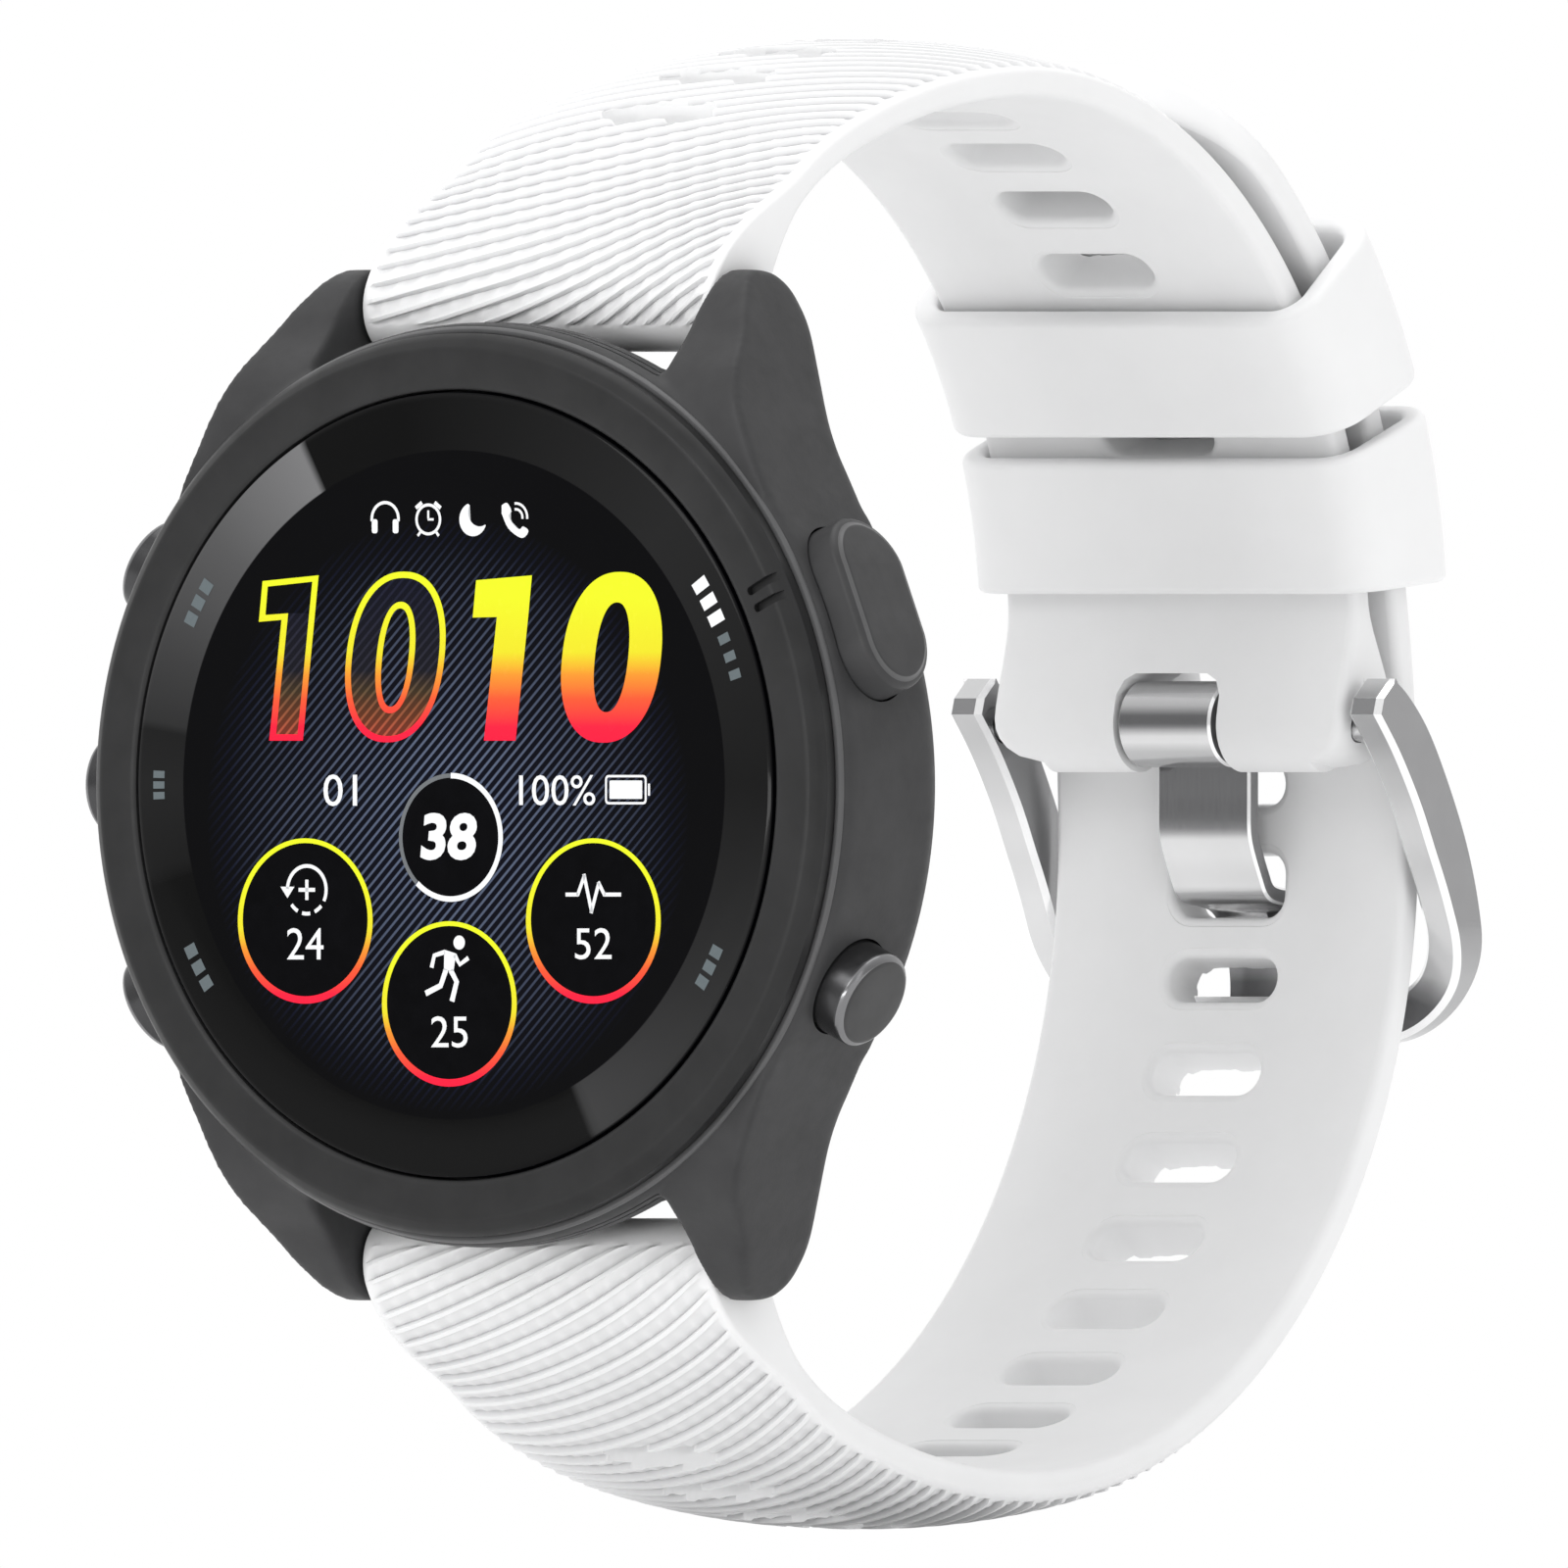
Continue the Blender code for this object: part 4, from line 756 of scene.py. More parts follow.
    # place: rolled ends swing round their bar
    near = np.clip(-SS / NOSE_R, 0, math.pi / 2)
    far = np.clip((SS - L) / NOSE_R, 0, math.pi / 2) if rolled else np.zeros_like(SS)
    phi = near + far
    sgn = np.where(near > 0, -1.0, 1.0)
    bx, bz, hd = chain.many(np.clip(SS, 0, L).ravel())
    bx, bz, hd = bx.reshape(SS.shape), bz.reshape(SS.shape), hd.reshape(SS.shape)
    nx, nz = -np.sin(hd) * side, np.cos(hd) * side
    tx, tz = np.cos(hd) * sgn, np.sin(hd) * sgn
    cp, sp = np.cos(phi), np.sin(phi)
    D = bx + nx * O * cp + tx * NOSE_R * sp + HH * (nx * cp + tx * sp)
    Z = bz + nz * O * cp + tz * NOSE_R * sp + HH * (nz * cp + tz * sp)
    P = np.stack([X, D - WATCH_T, Z], -1) * MM
    idx = np.arange(R * C).reshape(R, C)
    a = idx[:-1, :]
    b = idx[1:, :]
    a2, b2 = np.roll(a, -1, 1), np.roll(b, -1, 1)
    quads = np.stack([a, a2, b2, b], -1).reshape(-1, 4)
    faces = [tuple(q) for q in quads.tolist()]
    faces += [tuple(idx[0, ::-1].tolist()), tuple(idx[-1].tolist())]
    me = bpy.data.meshes.new(name)
    me.from_pydata(P.reshape(-1, 3).tolist(), [], faces)
    # the painted shade of the recesses goes to the material as a vertex attribute
    me.attributes.new("painted_hollow_shade", "FLOAT", "POINT").data.foreach_set("value", CC.ravel().astype(np.float32))
    bm = bmesh.new()
    bm.from_mesh(me)
    bmesh.ops.remove_doubles(bm, verts=bm.verts, dist=0.0000004)
    bmesh.ops.dissolve_degenerate(bm, dist=0.0000002, edges=bm.edges)
    bmesh.ops.recalc_face_normals(bm, faces=bm.faces)
    bm.to_mesh(me)
    bm.free()
    return new_object(name, me, mat, 42)


def arc_s(chain, index, angle):
    s0, length, cx, cz, radius, h0, sign = chain.segs[index]
    x0, z0, _ = chain.at(s0)
    a0 = math.atan2(z0 - cz, x0 - cx)
    return s0 + (math.radians(angle) - a0) * sign * radius


def slot_tool(chain, side, s, height=SLOT_H):
    """Slot cutter with a flared mouth on the wrist side."""
    x, z, h = chain.at(s)
    out = (0, -math.sin(h) * side, math.cos(h) * side)
    place = frame_at((0, wy(x), z), out, (1, 0, 0))
    rr = min(height, SLOT_H) / 2 - 0.02
    n = 7
    levels = []
    f = 0.42
    levels.append((f + 0.9, -HALF_T - 1.2))
    levels.append((f + 0.02, -HALF_T - 0.002))
    for a in (20, 40, 60, 80):
        levels.append((f * (1 - math.sin(math.radians(a))), -HALF_T + f * (1 - math.cos(math.radians(a)))))
    levels.append((0.0, -HALF_T + f))
    levels.append((0.0, HALF_T - 0.35))
    levels.append((0.03, HALF_T - 0.2))
    levels.append((0.09, HALF_T + 0.9))
    bm = bmesh.new()
    rows = []
    for grow, lv in levels:
        loop = rounded_rect(SLOT_L + 2 * grow, height + 2 * grow, rr + grow, n)
        rows.append([bm.verts.new((px * MM, py * MM, lv * MM)) for px, py in loop])
    m = len(rows[0])
    for r0, r1 in zip(rows, rows[1:]):
        for i in range(m):
            j = (i + 1) % m
            bm.faces.new((r0[i], r0[j], r1[j], r1[i]))
    bm.faces.new(rows[0][::-1])
    bm.faces.new(rows[-1])
    bmesh.ops.remove_doubles(bm, verts=bm.verts, dist=0.0000005)
    bmesh.ops.transform(bm, matrix=place, verts=bm.verts)
    return from_bm("slot", bm, SILICONE)


def bar_bore(place):
    return turned("bore", [(0, 12), (1.25, 12), (1.25, -12), (0, -12)], place, SILICONE, 28)


first = arc_s(SHORT, 2, 21.9)
tools = [slot_tool(SHORT, 1, first - i * SLOT_PITCH) for i in range(11)]
up = strap_skin("strap_upper_ribbed", SHORT, 1, RIB_UP, 1.13, True, SILICONE, 0.15)
boolean(up, joined("slots_up", tools, SILICONE))
boolean(up, bar_bore(along_x(BAR_D, BAR_Z)))
boolean(up, turned("bore", [(0, 12), (0.95, 12), (0.95, -12), (0, -12)], along_x(*BUCKLE_BAR), SILICONE, 28))
notch_w = TONGUE_W / 2 + 0.35
notch = [(-notch_w - 0.9, -6.0), (-notch_w - 0.5, -0.6), (-notch_w, 0.6), (-notch_w, 4.6), (-notch_w + 0.35, 5.35), (-notch_w + 1.0, 5.7)]
notch = notch + [(-x, z) for x, z in reversed(notch)]
boolean(up, prism("notch", notch, -5, 5, frame_at((0, wy(BUCKLE_BAR[0]), 0), (0, -1, 0), (1, 0, 0))))
KNOB_X = 6.3


def knob_tool(zsign):
    return prism("knob_notch", rounded_rect(4.6, 2.4, 0.7, 5), -2.5, 2.5,
                 frame_at((KNOB_X - 0.6, wy(BAR_D + 2.6), zsign * (BAR_Z - 0.2)), (0, 1, 0), (1, 0, 0)))


boolean(up, knob_tool(1))
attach(up, "watch")
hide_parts("strap_upper")

s_first = arc_s(LONG, 2, -3.7)
tools = [slot_tool(LONG, -1, s_first - i * SLOT_PITCH) for i in range(1, 12)]
tools += [slot_tool(LONG, -1, s_first - i * SLOT_PITCH) for i in (12, 13)]
tools += [slot_tool(LONG, -1, s_first + i * SLOT_PITCH) for i in range(1, 8)]
tools.append(slot_tool(LONG, -1, arc_s(LONG, 2, -3.95), 3.3))
low = strap_skin("strap_lower_ribbed", LONG, -1, RIB_LOW, 1.13, False, SILICONE, 0.35)
boolean(low, joined("slots_low", tools, SILICONE))
boolean(low, bar_bore(along_x(BAR_D, -BAR_Z)))
boolean(low, knob_tool(-1))
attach(low, "watch")
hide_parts("strap_lower")
for ob in (up, low):
    ob.data.materials.clear()
    ob.data.materials.append(SILICONE.m)
    shade(ob, 42)

# ------------------------------------------------------------------- keepers
K_LO = SHORT_IN_R - 0.3
K_HI = SHORT_IN_R + 2 * STRAP_T + LAY_GAP + 0.35


LOOP_LOOK = {"keeper_upper": (30.55, 15.2), "keeper_lower": (12.55, 15.0)}


def keeper_skin(name, angle, sweep):
    """A flat loop: the wall's rounded section is swept round the rounded rectangle."""
    mid_r = (K_LO + K_HI) / 2
    t = KEEPER_WALL
    hw, hr, rc = (KEEPER_W - t) / 2, (K_HI - K_LO + t) / 2, 1.9
    pts = []
    for qx, qy, a0 in ((1, 1, 0), (-1, 1, 90), (-1, -1, 180), (1, -1, 270)):
        for i in range(11):
            a = math.radians(a0 + 9 * i)
            pts.append((qx * (hw - rc) + rc * math.cos(a), qy * (hr - rc) + rc * math.sin(a), math.cos(a), math.sin(a)))
    dense = []
    for i, p in enumerate(pts):
        q = pts[(i + 1) % len(pts)]
        d = math.hypot(q[0] - p[0], q[1] - p[1])
        k = max(1, int(d / 1.6))
        for j in range(k):
            f = j / k
            dense.append(tuple(p[c] * (1 - f) + q[c] * f for c in range(4)))
    arc = math.radians(sweep) / 2
    er = 0.42
    half_len = arc * mid_r
    prof = []
    for qx, qy, a0 in ((1, 1, 0), (-1, 1, 90), (-1, -1, 180), (1, -1, 270)):
        for i in range(6):
            a = math.radians(a0 + 18 * i)
            prof.append((qx * (half_len - er) + er * math.cos(a), qy * (t / 2 - er) + er * math.sin(a)))
    full = []
    for i, p in enumerate(prof):
        q = prof[(i + 1) % len(prof)]
        d = math.hypot(q[0] - p[0], q[1] - p[1])
        k = max(1, int(d / 0.7))
        for j in range(k):
            f = j / k
            full.append((p[0] * (1 - f) + q[0] * f, p[1] * (1 - f) + q[1] * f))
    verts = []
    for w, r, nw, nr in dense:
        for s, o in full:
            a = math.radians(angle) + s / mid_r
            rr = mid_r + r + nr * o
            verts.append(((w + nw * o) * MM, wy(OVER_C[0] + math.cos(a) * rr) * MM, (OVER_C[1] + math.sin(a) * rr) * MM))
    n, m = len(dense), len(full)
    faces = [(i * m + j, ((i + 1) % n) * m + j, ((i + 1) % n) * m + (j + 1) % m, i * m + (j + 1) % m)
             for i in range(n) for j in range(m)]
    ob = from_arrays(name + "_moulded", verts, faces, LOOP_SIL, 50)
    bm = bmesh.new()
    bm.from_mesh(ob.data)
    bmesh.ops.recalc_face_normals(bm, faces=bm.faces)
    bm.to_mesh(ob.data)
    bm.free()
    shade(ob, 50)
    return ob


for kname, body in (("keeper_upper", "keeper_hi"), ("keeper_lower", "keeper_lo")):
    ob = keeper_skin(kname, *LOOP_LOOK[kname])
    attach(ob, body)
    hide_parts(kname)

# -------------------------------------------------------------------- buckle
SIDE_OUT = [(63.0, 5.5), (64.5, 4.5), (66.2, 2.75), (67.9, 0.1), (69.4, -2.8), (70.4, -5.6), (70.95, -8.4),
            (71.0, -10.8), (70.8, -13.6)]
SIDE_IN = [(69.3, -13.6), (69.3, -10.6), (68.5, -8.2), (67.4, -5.6), (66.2, -3.3), (64.9, -0.9), (63.2, 1.6), (61.5, 3.6)]


def side_place(x):
    return frame_at((x, wy(0), 0), (1, 0, 0), (0, 1, 0))


def edged(ob, width, segments, angle=30):
    m = ob.modifiers.new("edges", "BEVEL")
    m.width = width * MM
    m.segments = segments
    m.limit_method = "ANGLE"
    m.angle_limit = math.radians(angle)
    m.use_clamp_overlap = True
    m.miter_outer = "MITER_ARC"
    return bake(ob)


so, si = smooth_line(SIDE_OUT, 8), smooth_line(SIDE_IN, 8)
so = [(63.0, 5.5)] + so[1:]
si = [(63.0, 5.5), (61.75, 4.42)] + si[::-1]
OUT_Z, OUT_D = zip(*sorted((z, d) for d, z in so))
IN_Z, IN_D = zip(*sorted((z, d) for d, z in si))
RO = 6.0
walk = []                                    # outer plan point, inward normal, leg width
for z in list(np.linspace(5.42, 4.42, 5)) + list(np.linspace(4.3, 3.6, 4)) + list(np.linspace(3.3, -6.9, 40)):
    walk.append((-FRAME_HALF, z, 1.0, 0.0, FRAME_LEG))
for i in range(25):
    a = math.radians(180 + 90 * i / 24)
    walk.append((-FRAME_HALF + RO + RO * math.cos(a), -7.2 + RO * math.sin(a), -math.cos(a), -math.sin(a), FRAME_LEG + 0.4 * i / 24))
for x in np.linspace(-FRAME_HALF + RO, 0, 14)[1:]:
    walk.append((x, -13.2, 0.0, 1.0, FRAME_LEG + 0.4))
walk += [(-x, z, -nx, nz, w) for x, z, nx, nz, w in reversed(walk[:-1])]
CH = 0.3
verts = []
for x, z, nx, nz, w in walk:
    for a, side_, e in ((0.0, 0, 1), (CH, 0, 0), (w / 2, 0, 0), (w - CH, 0, 0), (w, 0, 1), (w, 1, 1), (w - CH, 1, 0), (w / 2, 1, 0), (CH, 1, 0), (0.0, 1, 1)):
        px_, pz_ = x + nx * a, z + nz * a
        d0, d1 = float(np.interp(pz_, IN_Z, IN_D)), float(np.interp(pz_, OUT_Z, OUT_D))
        c = min(CH, (d1 - d0) * 0.32) * e
        verts.append((px_ * MM, wy(d1 - c if side_ else d0 + c) * MM, pz_ * MM))
m_ = 10
faces = [(i * m_ + j, i * m_ + (j + 1) % m_, (i + 1) * m_ + (j + 1) % m_, (i + 1) * m_ + j)
         for i in range(len(walk) - 1) for j in range(m_)]
faces += [tuple(range(m_ - 1, -1, -1)), tuple(range((len(walk) - 1) * m_, len(walk) * m_))]
fr = from_arrays("buckle_frame_polished", verts, faces, STEEL, 24)
# the chamfer faces take the lighter steel, a painted highlight along the edges of the frame
fr.data.materials.append(EDGE_HIGHLIGHT.m)
for i, f in enumerate(fr.data.polygons):
    f.material_index = 1 if i < (len(walk) - 1) * m_ and i % m_ in (0, 3, 5, 8) else 0
bm = bmesh.new()
bm.from_mesh(fr.data)
bmesh.ops.recalc_face_normals(bm, faces=bm.faces)
bm.to_mesh(fr.data)
bm.free()
boolean(fr, turned("bore", [(0, 13), (1.0, 13), (1.0, -13), (0, -13)], along_x(*BUCKLE_BAR), STEEL, 40))
shade(fr, 24)
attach(fr, "frame")
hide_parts("buckle_frame")

bar = turned("buckle_bar_polished", [(0, 12.85), (0.75, 12.85), (0.9, 12.7), (0.9, -12.7), (0.75, -12.85), (0, -12.85)],
             along_x(*BUCKLE_BAR), STEEL, 48)
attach(bar, "watch")
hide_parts("buckle_bar")

CURL_R = 2.2 - TONGUE_T / 2
spine = []
for i in range(41):
    a = math.radians(285 - 285 * i / 40)
    spine.append((BUCKLE_BAR[0] + CURL_R * math.cos(a), BUCKLE_BAR[1] + CURL_R * math.sin(a)))
spine += smooth_line([(65.5, 1.0), (65.5, -0.6), (65.5, -2.1), (65.62, -2.8), (65.95, -3.6), (66.5, -4.7), (66.78, -5.2), (67.15, -5.5),
                      (67.8, -5.66), (68.6, -5.76), (69.9, -6.15), (71.1, -7.5), (71.6, -9.5), (71.66, -11.0), (71.6, -12.4)], 6)


def ribbon(name, line, width, t, ch, mat):
    """Flat strip of metal with chamfered edges, bent along a line in (depth, height)."""
    line = [p for i, p in enumerate(line) if i == 0 or math.hypot(p[0] - line[i - 1][0], p[1] - line[i - 1][1]) > 1e-3]
    verts = []
    for i, (d, z) in enumerate(line):
        a, b = line[max(i - 1, 0)], line[min(i + 1, len(line) - 1)]
        k = math.hypot(b[0] - a[0], b[1] - a[1])
        nd, nz = -(b[1] - a[1]) / k, (b[0] - a[0]) / k
        h, w = t / 2, width / 2
        for x, o in ((-w, -h + ch), (-w + ch, -h), (0, -h), (w - ch, -h), (w, -h + ch), (w, h - ch), (w - ch, h), (0, h), (-w + ch, h), (-w, h - ch)):
            verts.append((x * MM, wy(d + nd * o) * MM, (z + nz * o) * MM))
    m = 10
    faces = [(i * m + j, i * m + (j + 1) % m, (i + 1) * m + (j + 1) % m, (i + 1) * m + j)
             for i in range(len(line) - 1) for j in range(m)]
    faces += [tuple(range(m - 1, -1, -1)), tuple(range((len(line) - 1) * m, len(line) * m))]
    ob = from_arrays(name, verts, faces, mat, 24)
    # the chamfer faces take the lighter steel, a painted highlight along the edges of the strip
    ob.data.materials.append(EDGE_HIGHLIGHT.m)
    for i, f in enumerate(ob.data.polygons):
        f.material_index = 1 if i < (len(line) - 1) * m and i % m in (0, 3, 5, 8) else 0
    bm = bmesh.new()
    bm.from_mesh(ob.data)
    bmesh.ops.recalc_face_normals(bm, faces=bm.faces)
    bm.to_mesh(ob.data)
    bm.free()
    shade(ob, 24)
    return ob


tg = ribbon("buckle_tongue_polished", spine, TONGUE_W, TONGUE_T, 0.13, STEEL)
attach(tg, "tongue")
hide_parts("buckle_tongue")

# ----------------------------------------------------------------- case body
case = turned("case_moulded_body", cased([
    (21.4, 1.45), (23.0, 1.45), (23.35, 1.6), (23.55, 1.95), (23.6, 2.4), (23.6, 9.0), (23.4, 9.6), (23.0, 10.1),
    (22.4, 10.42), (21.8, 10.6), (20.6, 10.65), (20.6, 8.8), (19.0, 8.8), (19.0, 8.2), (20.6, 8.2), (20.6, 3.0),
    (21.4, 3.0)]), FRONT, CASE, 256)
lug_plan = [(LUG_W / 2, 14.0), (LUG_W / 2, 26.3)]
lug_plan += smooth_line([(12.9, 26.3), (13.6, 25.4), (14.8, 23.2), (15.9, 20.7), (17.1, 18.0),
                         (18.2, 15.6), (19.5, 13.2), (20.9, 10.6)], 5)
lug_plan += [(17.5, 9.0), (14.5, 14.0)]
lug_side = smooth_line([(1.5, 15.5), (1.58, 17.2), (1.75, 18.7), (2.15, 20.1), (2.9, 21.3), (4.5, 22.9), (5.6, 24.3), (6.9, 25.6),
                        (8.2, 26.25), (10.0, 26.5), (11.3, 26.1), (12.0, 24.9), (12.2, 22.8),
                        (11.6, 20.6), (10.4, 18.6)], 5)
lug_side += [(9.9, 16.5), (9.4, 8.0), (2.2, 8.0)]
# outline of a lug as the picture shows it, in (0.809 |x| + 0.588 depth, |z|)
lug_look = smooth_line([(15.3, 26.3), (16.15, 26.15), (16.85, 25.65), (17.3, 25.1), (17.6, 24.55), (17.95, 23.8), (18.25, 22.8),
                        (18.6, 21.05), (19.1, 18.55), (19.6, 16.95), (20.1, 15.8), (20.85, 14.05)], 4)
lug_look += [(21.6, 13.0), (26.0, 9.0), (26.0, 5.0), (-20.0, 5.0), (-20.0, 26.32), (15.0, 26.32)]
for sx, sz in ((1, 1), (-1, 1), (1, -1), (-1, -1)):
    a = prism("lug", [(sx * x, sz * z) for x, z in lug_plan], -8, 8, frame_at((0, wy(6.4), 0), (0, -1, 0), (1, 0, 0)), CASE)
    b = prism("lug_side", [(d, sz * z) for d, z in lug_side], -12, 12, side_place(sx * 16), CASE)
    boolean(a, b, "INTERSECT")
    look = Matrix(((sx * 0.809, 0, sx * -0.588), (0.588, 0, 0.809), (0, 1, 0)))
    pl = look.to_4x4()
    pl.translation = Vector((0, wy(0), 0)) * MM
    boolean(a, prism("lug_look", [(u, sz * z) for u, z in lug_look], -60, 60, pl, CASE), "INTERSECT")
    boolean(a, turned("core", [(0, 14), (22.2, 14), (22.2, -1), (0, -1)], FRONT, CASE, 128))
    boolean(case, a, "UNION")
cuts = []
for zsign in (1, -1):
    cuts.append(turned("relief", [(0, 11.2), (2.8, 11.2), (2.8, -11.2), (0, -11.2)], along_x(BAR_D, zsign * BAR_Z), CASE, 48))
    cuts.append(turned("tip", [(0, 13.1), (0.75, 13.1), (0.75, -13.1), (0, -13.1)], along_x(BAR_D, zsign * BAR_Z), CASE, 32))
for c in cuts:
    boolean(case, c)
m = case.modifiers.new("soft", "REMESH")
m.mode = "VOXEL"
m.voxel_size = 0.00021
m = case.modifiers.new("round", "SMOOTH")
m.factor = 0.5
m.iterations = 10
bake(case)
# stepped shoulders between the lugs
for zsign in (1, -1):
    for prof in ([(21.95, 3.95), (26.5, 3.95), (26.5, 14), (21.95, 14)], [(23.36, 2.42), (26, 2.42), (26, 2.58), (23.36, 2.58)],
                 [(23.36, 3.08), (26, 3.08), (26, 3.24), (23.36, 3.24)]):
        st = turned("steps", cased(prof), FRONT, CASE, 200)
        boolean(st, prism("between", [(-LUG_W / 2 + 0.05, 0), (LUG_W / 2 - 0.05, 0), (LUG_W / 2 - 0.05, zsign * 30), (-LUG_W / 2 + 0.05, zsign * 30)],
                          -12.5, 2, frame_at((0, wy(0), 0), (0, -1, 0), (1, 0, 0)), CASE), "INTERSECT")
        boolean(case, st)
for tag, ang in ROUND_BUTTONS.items():
    boolean(case, turned("pocket", [(0, 3), (2.72, 3), (2.72, 22.1 - BUTTON_FACE_R), (1.9, 22.1 - BUTTON_FACE_R), (1.9, 21.2 - BUTTON_FACE_R),
                                    (1.15, 21.2 - BUTTON_FACE_R), (1.15, 19.6 - BUTTON_FACE_R), (0, 19.6 - BUTTON_FACE_R)],
                         radial(ang, BUTTON_FACE_R), CASE, 64))
sp = radial(START_ANGLE, BUTTON_FACE_R)
CAP_L, CAP_W, CAP_X = 9.4, START_W, 0.34
boolean(case, prism("start_pocket", rounded_rect(CAP_L + 0.24, CAP_W + 0.24, CAP_W / 2 + 0.11, 16, CAP_X), 21.9 - BUTTON_FACE_R, 4, sp))
boolean(case, turned("start_bore", [(0, 0), (1.9, 0), (1.9, 21.2 - BUTTON_FACE_R), (1.15, 21.2 - BUTTON_FACE_R),
                                    (1.15, 19.6 - BUTTON_FACE_R), (0, 19.6 - BUTTON_FACE_R)], sp, CASE, 32))
case.data.materials.clear()
case.data.materials.append(CASE.m)
shade(case, 38)
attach(case, "watch")
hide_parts("case_body")
# thin ring at the front edge of the case in a lighter material: a painted highlight for the bright lines between bezel
# and wall
CASE_EDGE_HIGHLIGHT = Mat("case_front_edge_highlight", (0.085, 0.085, 0.087), 0.36, Specular_IOR_Level=0.35).vary(500, 0.06).gloss(1200, 0.32, 0.42).bump(9000, 0.00001, 0.1)
edge_highlight_ring = turned("case_front_edge_ring", cased([(23.0, 1.46), (23.14, 1.40), (23.26, 1.41), (23.36, 1.5), (23.40, 1.62), (23.36, 1.8), (23.0, 1.8)]),
                   FRONT, CASE_EDGE_HIGHLIGHT, 256)
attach(edge_highlight_ring, "watch")

# --------------------------------------------------------------------- bezel
bez = turned("bezel_moulded_ring", cased([
    (20.15, 0.35), (20.2, 0.2), (20.32, 0.1), (20.5, 0.05), (22.1, 0.0), (22.3, 0.02), (22.42, 0.08), (22.7, 0.3),
    (22.78, 0.36), (22.98, 0.6), (23.05, 0.72), (23.05, 1.36), (23.0, 1.42), (22.8, 1.42), (21.1, 1.42), (21.1, 2.85),
    (18.9, 2.85), (18.9, 2.1), (20.15, 2.1)]), FRONT, BEZEL, 256, True, 28)
for ang in (27.9, 25.3):
    a = math.radians(ang)
    n = Vector((math.cos(a), 0, math.sin(a)))
    place = frame_at(n * 22.6 + Vector((0, wy(0.0), 0)), (0, -1, 0), n)
    boolean(bez, prism("groove", rounded_rect(3.3, 0.46, 0.2, 4), -0.42, 1, place))
bez.data.materials.clear()
bez.data.materials.append(BEZEL.m)
shade(bez, 28)
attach(bez, "watch")
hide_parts("bezel")

lens = turned("lens_with_dial", cased([(0, 0.02), (8, 0.02), (17, 0.02), (19.7, 0.02), (19.9, 0.05), (20.02, 0.14), (20.06, 0.3),
                                       (20.06, 1.4), (0, 1.4)]), FRONT, LENS, 256, True, 30)
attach(lens, "watch")
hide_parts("lens")

# ------------------------------------------------------------- dial graphics
LAYER = {"low": (0.02, 0.010), "mid": (0.012, 0.002), "top": (0.004, -0.006)}


